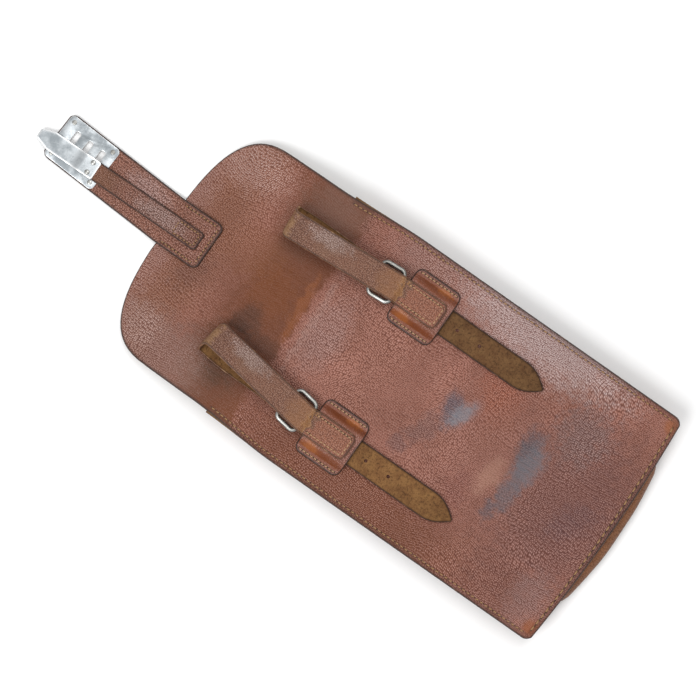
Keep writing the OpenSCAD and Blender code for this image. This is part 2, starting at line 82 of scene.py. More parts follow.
def wander(x, y, size, seed=0.0):
    # soft noise from -1 to 1 whose features are about `size` across
    return noise.noise(Vector((x / size, y / size, seed)))


def rounding(along, length, radius):
    # how much a rounded corner narrows a strip at each end
    near = min(along, length - along)
    if near >= radius:
        return 0.0
    return radius - math.sqrt(max(radius ** 2 - (radius - near) ** 2, 0.0))


# node helpers
def addNode(tree, kind, inputs=None, **settings):
    node = tree.nodes.new(kind)
    for key, value in settings.items():
        setattr(node, key, value)
    for key, value in (inputs or {}).items():
        if isinstance(value, bpy.types.NodeSocket):
            tree.links.new(value, node.inputs[key])
        else:
            node.inputs[key].default_value = value
    return node


def calc(tree, operation, a, b=0.0, c=0.0):
    return addNode(tree, "ShaderNodeMath", {0: a, 1: b, 2: c}, operation=operation).outputs[0]


def calcVector(tree, operation, a, b):
    return addNode(tree, "ShaderNodeVectorMath", {0: a, 1: b}, operation=operation).outputs[0]


def spinAbout(tree, vector, angle):
    return addNode(
        tree, "ShaderNodeVectorRotate", {"Vector": vector, "Angle": angle}, rotation_type="Z_AXIS").outputs[0]


def noiseOver(tree, place, scale, detail, **more):
    # more takes Roughness and Distortion
    inputs = dict(more, Vector=place, Scale=scale, Detail=detail)
    return addNode(tree, "ShaderNodeTexNoise", inputs).outputs


def hideMap(tree):
    # millimetres of the flat hide, from the UV map that every sheet and stitch has
    return addNode(tree, "ShaderNodeUVMap", uv_map="hide").outputs[0]


def ownSpace(tree):
    # the piece's own space in millimetres, for pieces without a hide map
    place = addNode(tree, "ShaderNodeTexCoord").outputs["Object"]
    return calcVector(tree, "MULTIPLY", place, (1000, 1000, 1000))


def nearEdge(tree):
    # 1 on a piece's rounded edge, fading inwards
    return addNode(tree, "ShaderNodeAttribute", attribute_name="nearEdge").outputs["Fac"]


def bumpFrom(tree, height, strength, distance):
    values = {"Height": height, "Strength": strength, "Distance": distance}
    return addNode(tree, "ShaderNodeBump", values).outputs[0]


def mixTone(tree, amount, a, b):
    return addNode(tree, "ShaderNodeMix", {0: amount, 6: a, 7: b}, data_type="RGBA").outputs[2]


def remap(tree, value, low, high, newLow=0.0, newHigh=1.0, soft=True):
    node = addNode(
        tree, "ShaderNodeMapRange",
        {"Value": value, "From Min": low, "From Max": high, "To Min": newLow, "To Max": newHigh},
        interpolation_type="SMOOTHSTEP" if soft else "LINEAR",
    )
    return node.outputs["Result"]


def tone(text):
    # an sRGB colour such as "8c6457" as the linear colour that the sockets take
    parts = [int(text[i:i + 2], 16) / 255 for i in (0, 2, 4)]
    return tuple(p / 12.92 if p <= 0.04045 else ((p + 0.055) / 1.055) ** 2.4 for p in parts) + (1.0,)


def newGroup(name, inputs, outputs):
    tree = bpy.data.node_groups.new(name, "ShaderNodeTree")
    for label, kind, value in inputs:
        socket = tree.interface.new_socket(label, in_out="INPUT", socket_type="NodeSocket" + kind)
        if value is not None:
            socket.default_value = value
    for label in outputs:
        tree.interface.new_socket(label, in_out="OUTPUT", socket_type="NodeSocketFloat")
    return tree, tree.nodes.new("NodeGroupInput").outputs, tree.nodes.new("NodeGroupOutput").inputs


def useGroup(tree, group, inputs):
    return addNode(tree, "ShaderNodeGroup", inputs, node_tree=group).outputs


# effects shared by several finishes
def makePebbleGrain():
    # pressed leather grain: rounded pebbles in winding rows, Across and Along are their size in mm
    tree, given, out = newGroup(
        "pebbleGrain",
        [("Vector", "Vector", None), ("Across", "Float", 3.0), ("Along", "Float", 1.8),
         ("Swirl", "Float", 6.0), ("Irregular", "Float", 0.8)],
        ["Height", "Valley", "Cell"],
    )
    bend = noiseOver(tree, given["Vector"], 0.014, 1.0)
    offset = calcVector(tree, "SUBTRACT", bend["Color"], (0.5, 0.5, 0.5))
    swirl = addNode(tree, "ShaderNodeVectorMath", {0: offset, "Scale": given["Swirl"]}, operation="SCALE")
    place = calcVector(tree, "ADD", given["Vector"], swirl.outputs[0])
    across = calc(tree, "DIVIDE", 1.0, given["Across"])
    along = calc(tree, "DIVIDE", 1.0, given["Along"])
    scale = addNode(tree, "ShaderNodeCombineXYZ", {0: across, 1: along, 2: across}).outputs[0]
    place = calcVector(tree, "MULTIPLY", place, scale)
    cell = addNode(
        tree, "ShaderNodeTexVoronoi",
        {"Vector": place, "Scale": 1.0, "Randomness": given["Irregular"], "Smoothness": 0.22},
        voronoi_dimensions="2D", feature="SMOOTH_F1",
    )
    shade = addNode(tree, "ShaderNodeSeparateColor", {0: cell.outputs["Color"]}).outputs[0]
    distance = cell.outputs["Distance"]
    pebble = remap(tree, distance, 0.6, 0.1)
    height = calc(tree, "MULTIPLY", pebble, calc(tree, "MULTIPLY_ADD", shade, 0.3, 0.8))
    valley = remap(tree, distance, 0.4, 0.6)
    tree.links.new(height, out["Height"])
    tree.links.new(valley, out["Valley"])
    tree.links.new(shade, out["Cell"])
    return tree


def makeHideTone():
    # uneven colour of an old hide: broad clouds, small spots and faint streaks along V
    tree, given, out = newGroup(
        "hideTone", [("Vector", "Vector", None), ("Seed", "Float", 0.0)], ["Cloud", "Spot", "Streak"])
    offset = addNode(tree, "ShaderNodeCombineXYZ", {0: 0.0, 1: 0.0, 2: given["Seed"]}).outputs[0]
    place = calcVector(tree, "ADD", given["Vector"], offset)
    cloud = noiseOver(tree, place, 0.016, 4.0, Roughness=0.55, Distortion=0.6)
    spot = noiseOver(tree, place, 0.11, 5.0, Roughness=0.65)
    thin = calcVector(tree, "MULTIPLY", place, (0.35, 0.02, 1.0))
    streak = noiseOver(tree, thin, 1.0, 4.0)
    tree.links.new(remap(tree, cloud[0], 0.3, 0.7), out["Cloud"])
    tree.links.new(remap(tree, spot[0], 0.3, 0.7), out["Spot"])
    tree.links.new(remap(tree, streak[0], 0.35, 0.7), out["Streak"])
    return tree


def makeWearAndLightPatch():
    # a soft-edged oval with a frayed outline: scuffs, stains, polished places, and patches of painted shadow
    # and painted highlight
    tree, given, out = newGroup(
        "wearAndLightPatch",
        [("Vector", "Vector", None), ("Centre", "Vector", (0, 0, 0)), ("Size", "Vector", (10, 10, 1)),
         ("Turn", "Float", 0.0), ("Fray", "Float", 0.4)],
        ["Mask"],
    )
    away = calcVector(tree, "SUBTRACT", given["Vector"], given["Centre"])
    turned = spinAbout(tree, away, given["Turn"])
    scaled = calcVector(tree, "DIVIDE", turned, given["Size"])
    reach = addNode(tree, "ShaderNodeVectorMath", {0: scaled}, operation="LENGTH")
    fray = noiseOver(tree, given["Vector"], 0.14, 6.0, Roughness=0.7)
    ragged = calc(tree, "MULTIPLY", calc(tree, "SUBTRACT", fray[0], 0.5), given["Fray"])
    ragged = calc(tree, "MULTIPLY", ragged, 4.0)
    mask = remap(tree, calc(tree, "ADD", reach.outputs["Value"], ragged), 1.15, 0.35)
    tree.links.new(mask, out["Mask"])
    return tree


def makeScratches():
    # thin broken lines that run mostly along V
    tree, given, out = newGroup(
        "scratches",
        [("Vector", "Vector", None), ("Density", "Float", 0.5), ("Turn", "Float", 0.3)],
        ["Mask"],
    )
    turned = spinAbout(tree, given["Vector"], given["Turn"])
    thin = calcVector(tree, "MULTIPLY", turned, (0.22, 0.012, 1.0))
    lines = noiseOver(tree, thin, 1.0, 3.0)
    ridge = calc(tree, "ABSOLUTE", calc(tree, "SUBTRACT", lines[0], 0.5))
    line = remap(tree, ridge, 0.012, 0.0)
    gate = noiseOver(tree, turned, 0.05, 3.0)
    broken = remap(tree, gate[0], calc(tree, "SUBTRACT", 1.0, given["Density"]), 0.85)
    tree.links.new(calc(tree, "MULTIPLY", line, broken), out["Mask"])
    return tree


pebbleGrain = makePebbleGrain()
hideTone = makeHideTone()
wearAndLightPatch = makeWearAndLightPatch()
scratches = makeScratches()
print("effects ready")


# finishes
def newFinish(name):
    finish = bpy.data.materials.new(name)
    finish.use_nodes = True
    tree = finish.node_tree
    shader = tree.nodes["Principled BSDF"]
    return finish, tree, shader


def leatherFinish(name, look):
    # grained leather; zones are bands along V and patches are ovals, both in millimetres of the flat hide
    finish, tree, shader = newFinish(name)
    hide = hideMap(tree)
    grain = useGroup(tree, pebbleGrain, {"Vector": hide, "Across": look["pebble"][0],
                                         "Along": look["pebble"][1], "Swirl": look["swirl"],
                                         "Irregular": look["irregular"]})
    tint = useGroup(tree, hideTone, {"Vector": hide, "Seed": look.get("seed", 0.0)})
    marks = useGroup(tree, scratches, {"Vector": hide, "Density": 0.55, "Turn": 0.35})
    colour = mixTone(tree, tint["Cloud"], tone(look["deep"]), tone(look["base"]))
    colour = mixTone(tree, calc(tree, "MULTIPLY", tint["Spot"], 0.5), colour, tone(look["light"]))
    flat = 0.0
    paintedSheen = 0.0
    parts = addNode(tree, "ShaderNodeSeparateXYZ", {0: hide}).outputs
    edgeNoise = calc(tree, "MULTIPLY", calc(tree, "SUBTRACT", tint["Spot"], 0.5), look.get("zoneFray", 9.0))
    alongV = calc(tree, "ADD", parts[1], edgeNoise)
    masks = []
    for zone in look.get("zones", []):
        rise = remap(tree, alongV, zone["start"], zone["start"] + zone["fade"])
        fall = remap(tree, alongV, zone["end"], zone["end"] - zone["fadeEnd"])
        masks.append((calc(tree, "MULTIPLY", rise, fall), zone))
    for patch in look.get("patches", []):
        oval = useGroup(tree, wearAndLightPatch, {
            "Vector": hide, "Centre": patch["centre"] + (0,), "Size": patch["size"] + (1,),
            "Turn": math.radians(patch["turn"]), "Fray": patch["fray"]})
        masks.append((oval["Mask"], patch))
    for mask, place in masks:
        colour = mixTone(tree, calc(tree, "MULTIPLY", mask, place["amount"]), colour, tone(place["colour"]))
        flat = calc(tree, "MAXIMUM", flat, calc(tree, "MULTIPLY", mask, place["worn"]))
        if place["paintedSheen"]:
            paintedSheen = calc(tree, "MAXIMUM", paintedSheen, calc(tree, "MULTIPLY", mask, place["paintedSheen"]))
    depth = calc(tree, "SUBTRACT", 1.0, flat)
    # painted shade: the grain's valleys are darkened towards the valley colour
    valley = calc(tree, "MULTIPLY", calc(tree, "MULTIPLY", grain["Valley"], depth), look["valleyShade"])
    colour = mixTone(tree, valley, colour, tone(look["valley"]))
    # painted highlight: the pebbles' tops are lightened towards the pale top colour
    tops = remap(tree, grain["Height"], 0.6, 1.0)
    topHighlight = calc(tree, "MULTIPLY", calc(tree, "MULTIPLY", tops, look["topHighlightAmount"]), depth)
    colour = mixTone(tree, topHighlight, colour, tone(look["topHighlight"]))
    # painted highlight: marks with a sheen amount lighten the grain's tops towards a pale pink
    colour = mixTone(tree, calc(tree, "MULTIPLY", tops, paintedSheen), colour, tone("d9c9c8"))
    colour = mixTone(tree, calc(tree, "MULTIPLY", tint["Streak"], 0.16), colour, tone(look["deep"]))
    colour = mixTone(tree, calc(tree, "MULTIPLY", marks["Mask"], 0.35), colour, tone(look["valley"]))
    # darker along the rounded edges; on the body sheet this also carries painted shade in the seam furrow
    edge = calc(tree, "MULTIPLY", nearEdge(tree), look["edgeDark"])
    colour = mixTone(tree, edge, colour, tone("33211b"))
    fine = noiseOver(tree, hide, 2.2, 3.0)
    height = calc(tree, "MULTIPLY", grain["Height"], calc(tree, "MULTIPLY_ADD", depth, 0.85, 0.15))
    height = calc(tree, "MULTIPLY_ADD", fine[0], 0.18, height)
    height = calc(tree, "MULTIPLY_ADD", marks["Mask"], -0.3, height)
    bump = bumpFrom(tree, height, look["bump"], 0.00045)
    rough = remap(tree, tint["Spot"], 0.0, 1.0, look["rough"][0], look["rough"][1], soft=False)
    rough = calc(tree, "MULTIPLY_ADD", grain["Valley"], 0.22, rough)
    tree.links.new(colour, shader.inputs["Base Color"])
    tree.links.new(rough, shader.inputs["Roughness"])
    tree.links.new(bump, shader.inputs["Normal"])
    shader.inputs["Specular IOR Level"].default_value = look.get("specular", 0.4)
    return finish


def rawFinish(name, look):
    # flesh side and suede: short matted fibres, no grain
    finish, tree, shader = newFinish(name)
    place = hideMap(tree)
    tint = useGroup(tree, hideTone, {"Vector": place, "Seed": look["seed"]})
    nap = noiseOver(tree, place, 1.1, 6.0, Roughness=0.75, Distortion=0.8)
    tuft = noiseOver(tree, place, 0.45, 3.0)
    colour = mixTone(tree, tint["Cloud"], tone(look["deep"]), tone(look["base"]))
    colour = mixTone(tree, calc(tree, "MULTIPLY", tint["Spot"], 0.55), colour, tone(look["light"]))
    colour = mixTone(tree, calc(tree, "MULTIPLY", remap(tree, nap[0], 0.52, 0.68), 0.5), colour,
                     tone(look["light"]))
    colour = mixTone(tree, calc(tree, "MULTIPLY", remap(tree, nap[0], 0.48, 0.32), 0.75), colour,
                     tone(look["shade"]))
    colour = mixTone(tree, calc(tree, "MULTIPLY", remap(tree, tuft[0], 0.5, 0.3), 0.5), colour,
                     tone(look["shade"]))
    edge = nearEdge(tree)
    colour = mixTone(tree, calc(tree, "MULTIPLY", edge, 0.7), colour, tone(look["shade"]))
    height = calc(tree, "MULTIPLY_ADD", tuft[0], 0.8, nap[0])
    bump = bumpFrom(tree, height, 0.9, 0.0005)
    tree.links.new(colour, shader.inputs["Base Color"])
    tree.links.new(remap(tree, nap[0], 0.3, 0.7, 0.97, 0.8), shader.inputs["Roughness"])
    tree.links.new(bump, shader.inputs["Normal"])
    shader.inputs["Specular IOR Level"].default_value = 0.2
    return finish


def edgeFinish(name, look):
    # burnished cut edge: waxed dark, layered along its length
    finish, tree, shader = newFinish(name)
    place = hideMap(tree)
    layers = calcVector(tree, "MULTIPLY", place, (0.15, 3.0, 1.0))
    fibre = noiseOver(tree, layers, 1.0, 5.0)
    wear = noiseOver(tree, place, 0.07, 4.0)
    colour = mixTone(tree, remap(tree, fibre[0], 0.35, 0.65), tone(look["deep"]), tone(look["base"]))
    colour = mixTone(tree, calc(tree, "MULTIPLY", remap(tree, wear[0], 0.56, 0.68), look["worn"]), colour,
                     tone(look["light"]))
    bump = bumpFrom(tree, fibre[0], 0.5, 0.0002)
    tree.links.new(colour, shader.inputs["Base Color"])
    tree.links.new(remap(tree, wear[0], 0.4, 0.7, 0.4, 0.65), shader.inputs["Roughness"])
    tree.links.new(bump, shader.inputs["Normal"])
    return finish


def threadFinish(name, look):
    # waxed linen: two plies twisted round each other, soiled in places
    finish, tree, shader = newFinish(name)
    place = hideMap(tree)
    twist = addNode(tree, "ShaderNodeTexWave", {"Vector": place, "Scale": 0.5, "Distortion": 0.6},
                    wave_type="BANDS", bands_direction="DIAGONAL")
    soilAndShade = noiseOver(tree, place, 0.25, 3.0)
    colour = mixTone(tree, remap(tree, soilAndShade[0], 0.35, 0.62), tone(look["soiled"]), tone(look["clean"]))
    colour = mixTone(tree, calc(tree, "MULTIPLY", remap(tree, twist.outputs["Fac"], 0.45, 0.1), 0.5), colour,
                     tone(look["soiled"]))
    bump = bumpFrom(tree, twist.outputs["Fac"], 0.6, 0.0002)
    tree.links.new(colour, shader.inputs["Base Color"])
    tree.links.new(remap(tree, soilAndShade[0], 0.3, 0.7, 0.85, 0.65), shader.inputs["Roughness"])
    tree.links.new(bump, shader.inputs["Normal"])
    return finish


def metalFinish(name, look):
    # dull plated steel: rubbed bright in patches, grey film and fine scratches elsewhere
    finish, tree, shader = newFinish(name)
    place = ownSpace(tree)
    film = noiseOver(tree, place, 0.07, 5.0, Roughness=0.55)
    speck = noiseOver(tree, place, 0.9, 4.0)
    marks = useGroup(tree, scratches, {"Vector": place, "Density": 0.75, "Turn": 1.1})
    cross = useGroup(tree, scratches, {"Vector": place, "Density": 0.65, "Turn": -0.4})
    colour = mixTone(tree, remap(tree, film[0], 0.35, 0.65), tone(look["film"]), tone(look["bright"]))
    colour = mixTone(tree, calc(tree, "MULTIPLY", remap(tree, speck[0], 0.6, 0.75), look["tarnish"]), colour,
                     tone(look["dark"]))
    both = calc(tree, "MAXIMUM", marks["Mask"], cross["Mask"])
    colour = mixTone(tree, calc(tree, "MULTIPLY", both, 0.5), colour, tone(look["dark"]))
    # painted highlight along the edges that a piece marks, near-white for dullSteel
    rim = nearEdge(tree)
    colour = mixTone(tree, calc(tree, "MULTIPLY", rim, 0.85), colour, tone(look["rim"]))
    rough = remap(tree, film[0], 0.35, 0.65, look["rough"][1], look["rough"][0])
    height = calc(tree, "MULTIPLY_ADD", speck[0], 0.35, film[0])
    height = calc(tree, "MULTIPLY_ADD", both, -0.4, height)
    bump = bumpFrom(tree, height, 0.2, 0.00005)
    tree.links.new(colour, shader.inputs["Base Color"])
    tree.links.new(rough, shader.inputs["Roughness"])
    tree.links.new(bump, shader.inputs["Normal"])
    shader.inputs["Metallic"].default_value = look["metallic"]
    return finish


def holeFinish():
    # painted shade: the dark inside of stitch holes and punched holes
    finish, tree, shader = newFinish("stitchHole")
    place = addNode(tree, "ShaderNodeTexCoord").outputs["Object"]
    holeShadeMottle = noiseOver(tree, place, 900.0, 2.0)
    colour = mixTone(tree, holeShadeMottle[0], tone("1c120e"), tone("3a241a"))
    tree.links.new(colour, shader.inputs["Base Color"])
    shader.inputs["Roughness"].default_value = 0.9
    return finish


def mark(centre, size, colour, amount, fray=0.4, turn=0, worn=0.0, paintedSheen=0.0):
    # an oval on the hide; worn flattens the grain, and its sheen amount is a painted highlight lightening the
    # grain's tops
    return {"centre": centre, "size": size, "colour": colour, "amount": amount, "fray": fray, "turn": turn,
            "worn": worn, "paintedSheen": paintedSheen}


def band(start, end, fade, colour, amount, fadeEnd=None, worn=0.0):
    # a stretch along V, fading over `fade` at its start and over `fadeEnd` at its end
    return {"start": start, "end": end, "fade": fade, "fadeEnd": fadeEnd or fade, "colour": colour,
            "amount": amount, "worn": worn, "paintedSheen": 0.0}


# the body sheet: V runs from the bottom seam, 0, over the mouth at about 315, to the flap's end at about 429
bodyLook = {
    "pebble": (1.72, 1.1), "swirl": 34.0, "irregular": 0.55, "specular": 0.28,
    # the valley colour is painted shade in the grain's valleys, the pale top colour a painted highlight on
    # the pebbles' tops
    "base": "9b6555", "deep": "7e4e3d", "light": "a67364", "valley": "43180e", "topHighlight": "c79c92",
    "valleyShade": 0.7, "topHighlightAmount": 0.55, "bump": 0.9, "rough": (0.42, 0.55), "edgeDark": 0.8,
    "zones": [
        band(352, 470, 40, "7e5139", 0.9, fadeEnd=2),
        band(292, 384, 7, "5c2e10", 0.95, fadeEnd=50, worn=0.8),
    ],
    "patches": [
        mark((-96, 190), (40, 150), "6f3f24", 0.85, fray=0.25),
        mark((-5, 38), (95, 62), "69453f", 0.85, fray=0.3),
        # painted highlight: a broad pale sheen down the right side
        mark((104, 130), (43, 98), "ad9591", 0.8, fray=0.3, paintedSheen=0.8),
        mark((96, 236), (26, 40), "8a685f", 0.6, fray=0.3, paintedSheen=0.2),
        mark((0, 272), (40, 20), "8f6c64", 0.65, fray=0.3, paintedSheen=0.15),
        # partly painted shadow of the left loop, partly stain, here and in the three dark marks further down
        mark((-66, 334), (40, 36), "492b16", 0.6, fray=0.3, worn=0.3),
        mark((70, 330), (44, 30), "5c3a28", 0.5, worn=0.3),
        mark((88, 318), (26, 34), "6b4a3c", 0.7),
        mark((22, 360), (26, 34), "7a4a2a", 0.4),
        mark((-86, 372), (34, 50), "7c5d52", 0.7, fray=0.3, paintedSheen=0.12),
        mark((0, 434), (120, 30), "946a5e", 0.75, fray=0.3, paintedSheen=0.22),
        # painted highlight along the flap's two edges
        mark((80, 400), (26, 44), "9f7262", 0.75, fray=0.3, paintedSheen=0.45),
        mark((-78, 402), (24, 30), "927064", 0.6, fray=0.3, paintedSheen=0.3),
        mark((-86, 48), (34, 44), "643c30", 0.55, fray=0.3),
        mark((0, 104), (70, 60), "7b5248", 0.3, fray=0.3),
        mark((2, 325), (32, 24), "6c380f", 0.6, worn=0.5),
        mark((6, 300), (34, 6), "8a4d20", 0.45, fray=0.6, turn=-4),
        # partly painted shadow beside and under the left loop, partly stain
        mark((-26, 329), (20, 13), "371f10", 0.7, worn=0.4),
        mark((-66, 326), (24, 16), "3d2612", 0.6, worn=0.4),
        mark((-34, 306), (10, 20), "3f2415", 0.55, worn=0.4),
        mark((0, 286), (60, 4), "a5857c", 0.35, fray=0.7, turn=-2),
        mark((-20, 390), (24, 14), "54382e", 0.4, fray=0.6, turn=20),
        mark((10, 156), (18, 10), "4c4e59", 0.85, fray=0.3, turn=-18, worn=0.3),
        mark((10, 147), (20, 9), "73777f", 0.8, fray=0.35, turn=25, worn=0.5),
        mark((-14, 164), (24, 12), "65504f", 0.5, fray=0.6, turn=25),
        mark((-36, 176), (10, 9), "5f4b4c", 0.55, fray=0.6),
        mark((15, 86), (26, 12), "484a52", 0.9, fray=0.3, turn=-12, worn=0.35),
        mark((4, 80), (30, 13), "64666d", 0.7, fray=0.45, turn=4, worn=0.5),
        mark((-22, 82), (22, 10), "5c5a60", 0.75, fray=0.5, turn=2, worn=0.3),
        mark((-40, 88), (12, 6), "56535a", 0.7, fray=0.6, worn=0.2),
        mark((-16, 101), (22, 11), "a07664", 0.65, fray=0.5, turn=8, worn=0.4),
        mark((36, 124), (26, 17), "91523a", 0.65, fray=0.5),
        mark((14, 118), (34, 16), "7f5142", 0.6, fray=0.5, worn=0.2),
        mark((48, 138), (24, 18), "94563f", 0.6, fray=0.5),
        mark((-40, 118), (20, 12), "7e4c42", 0.5, fray=0.5),
        mark((52, 58), (32, 26), "6d5855", 0.7, fray=0.5, paintedSheen=0.1),
        mark((-10, 30), (26, 14), "584246", 0.5, fray=0.6, turn=30),
        mark((-80, 22), (30, 18), "8c6c66", 0.5, paintedSheen=0.15),
        mark((-97, 6), (9, 8), "8a4a22", 0.85, worn=0.6),
        mark((98, 6), (9, 8), "8f5228", 0.75, worn=0.5),
    ],
}
strapLook = {
    "pebble": (1.8, 1.0), "swirl": 12.0, "seed": 31.0, "irregular": 0.68,
    # the same painted valley shade and painted top highlight as the body
    "base": "80503c", "deep": "653623", "light": "8f5c4b", "valley": "32130b", "topHighlight": "d3b2aa",
    "valleyShade": 0.75, "topHighlightAmount": 0.5, "bump": 0.9, "rough": (0.4, 0.52), "edgeDark": 0.85,
}
closureLook = dict(
    strapLook, pebble=(1.9, 1.05), seed=52.0, base="875541", deep="71402b",
    zones=[
        band(112, 140, 12, "7c4a28", 0.8, worn=0.5),
        band(30, 52, 9, "7c4a34", 0.5, worn=0.1),
    ],
    # painted highlight on the strap's upper part
    patches=[mark((8, 70), (14, 26), "9a7a74", 0.5, paintedSheen=0.35)],
)
tongueLook = dict(
    strapLook, pebble=(1.8, 1.0), seed=66.0, base="764733", deep="5d3520",
    zones=[band(72, 125, 20, "66401f", 0.6, worn=0.3)],
    # painted highlight on the tongue strap's upper part
    patches=[mark((0, 40), (9, 30), "8f7168", 0.6, paintedSheen=0.4)],
)
loopLook = dict(
    strapLook, pebble=(1.7, 1.05), seed=80.0, base="7c503b", deep="5f3b28", light="8a6450", topHighlight="bda297",
    topHighlightAmount=0.4, valleyShade=0.6,
    zones=[
        band(-20, 37, 3, "955c44", 0.9),
        band(37, 44, 3, "b08250", 0.75, worn=0.6),
        band(38, 66, 3, "855835", 0.75, fadeEnd=16, worn=0.5),
        band(92, 120, 14, "7b5a44", 0.4, worn=0.2),
        band(136, 156, 6, "86633f", 0.75, worn=0.5),
    ],
    # painted highlight on the loop
    patches=[mark((5, 108), (8, 24), "937c74", 0.5, fray=0.5, paintedSheen=0.35)],
)
patchLook = dict(
    strapLook, pebble=(1.7, 1.2), seed=12.0, base="8b5646", deep="6c3a28",
    valleyShade=0.5, topHighlightAmount=0.35, bump=0.55, rough=(0.3, 0.42),
    patches=[
        mark((-16.2, 20), (7, 30), "703612", 0.92, fray=0.3, worn=0.85),
        mark((16.2, 20), (7, 30), "703612", 0.92, fray=0.3, worn=0.85),
        mark((18, 12), (4, 9), "a5602b", 0.7, fray=0.5, worn=0.8),
        mark((-15, 30), (4, 9), "a5602b", 0.6, fray=0.5, worn=0.8),
    ],
)
sideLook = dict(
    strapLook, pebble=(1.6, 1.6), seed=5.0, base="84502f", deep="623a22", light="8f5d38", valley="39210f",
    topHighlight="96704c", valleyShade=0.4, topHighlightAmount=0.25, bump=0.5, edgeDark=0.4, zoneFray=2.0,
    zones=[band(19, 60, 4, "837263", 0.8)],
)

bodyLeather = leatherFinish("bodyLeather", bodyLook)
closureLeather = leatherFinish("closureLeather", closureLook)
tongueLeather = leatherFinish("tongueLeather", tongueLook)
loopLeather = leatherFinish("loopLeather", loopLook)
patchLeather = leatherFinish("patchLeather", patchLook)
sideLeather = leatherFinish("sideLeather", sideLook)
fleshSide = rawFinish(
    "fleshSide", {"seed": 3.0, "base": "8f6e4e", "deep": "735638", "light": "a98a68", "shade": "4d3723"})
tailSuede = rawFinish(
    "tailSuede", {"seed": 9.0, "base": "775232", "deep": "54361f", "light": "977044", "shade": "28160b"})
soiledSuede = rawFinish(
    "soiledSuede", {"seed": 23.0, "base": "62432a", "deep": "432b19", "light": "7d5d3b", "shade": "231409"})
darkEdge = edgeFinish("darkEdge", {"base": "3a241a", "deep": "1d1411", "light": "7d5a43", "worn": 0.5})
tanEdge = edgeFinish("tanEdge", {"base": "7d5438", "deep": "4c3020", "light": "b08a66", "worn": 0.8})
tanThread = threadFinish("tanThread", {"clean": "b58e62", "soiled": "70502f"})
paleThread = threadFinish("paleThread", {"clean": "cfab84", "soiled": "8f6844"})
brownThread = threadFinish("brownThread", {"clean": "bd9566", "soiled": "755338"})
dullSteel = metalFinish("dullSteel", {
    "bright": "c8cdd0", "film": "888e92", "dark": "4f5456", "rim": "fafbfc",
    "tarnish": 0.5, "rough": (0.36, 0.46), "metallic": 0.8})
wireSteel = metalFinish("wireSteel", {
    "bright": "b0b0ad", "film": "8e8d88", "dark": "5d5a56", "rim": "b0b0ad",
    "tarnish": 0.3, "rough": (0.3, 0.42), "metallic": 0.85})
# painted highlight: near-white finish for the rounded rims of the hasp and tongue plate, also less rough
rimHighlight = metalFinish("rimHighlight", {
    "bright": "fafbfc", "film": "dfe2e4", "dark": "8d9193", "rim": "fafbfc",
    "tarnish": 0.15, "rough": (0.25, 0.4), "metallic": 0.8})
stitchHole = holeFinish()
print("finishes ready")


# mesh helpers
def newPiece(name, points, faces, finishes, uvs=None, faceFinish=None, edgeNear=None, sharp=None):
    # points in mm; uvs is one pair for each face corner, in the order of the faces
    mesh = bpy.data.meshes.new(name)
    mesh.from_pydata([tuple(p) for p in np.asarray(points, float) * mm], [], faces)
    if uvs is not None:
        layer = mesh.uv_layers.new(name="hide")
        layer.data.foreach_set("uv", np.asarray(uvs, float).ravel())
    for finish in finishes:
        mesh.materials.append(finish)
    if faceFinish is not None:
        mesh.polygons.foreach_set("material_index", faceFinish)
    if edgeNear is not None:
        attribute = mesh.attributes.new("nearEdge", "FLOAT", "POINT")
        attribute.data.foreach_set("value", np.asarray(edgeNear, np.float32))
    mesh.shade_smooth()
    if sharp:
        for edge in mesh.edges:
            if edge.vertices[0] in sharp and edge.vertices[1] in sharp:
                edge.use_edge_sharp = True
    mesh.validate()
    piece = bpy.data.objects.new(name, mesh)
    bpy.context.scene.collection.objects.link(piece)
    return piece


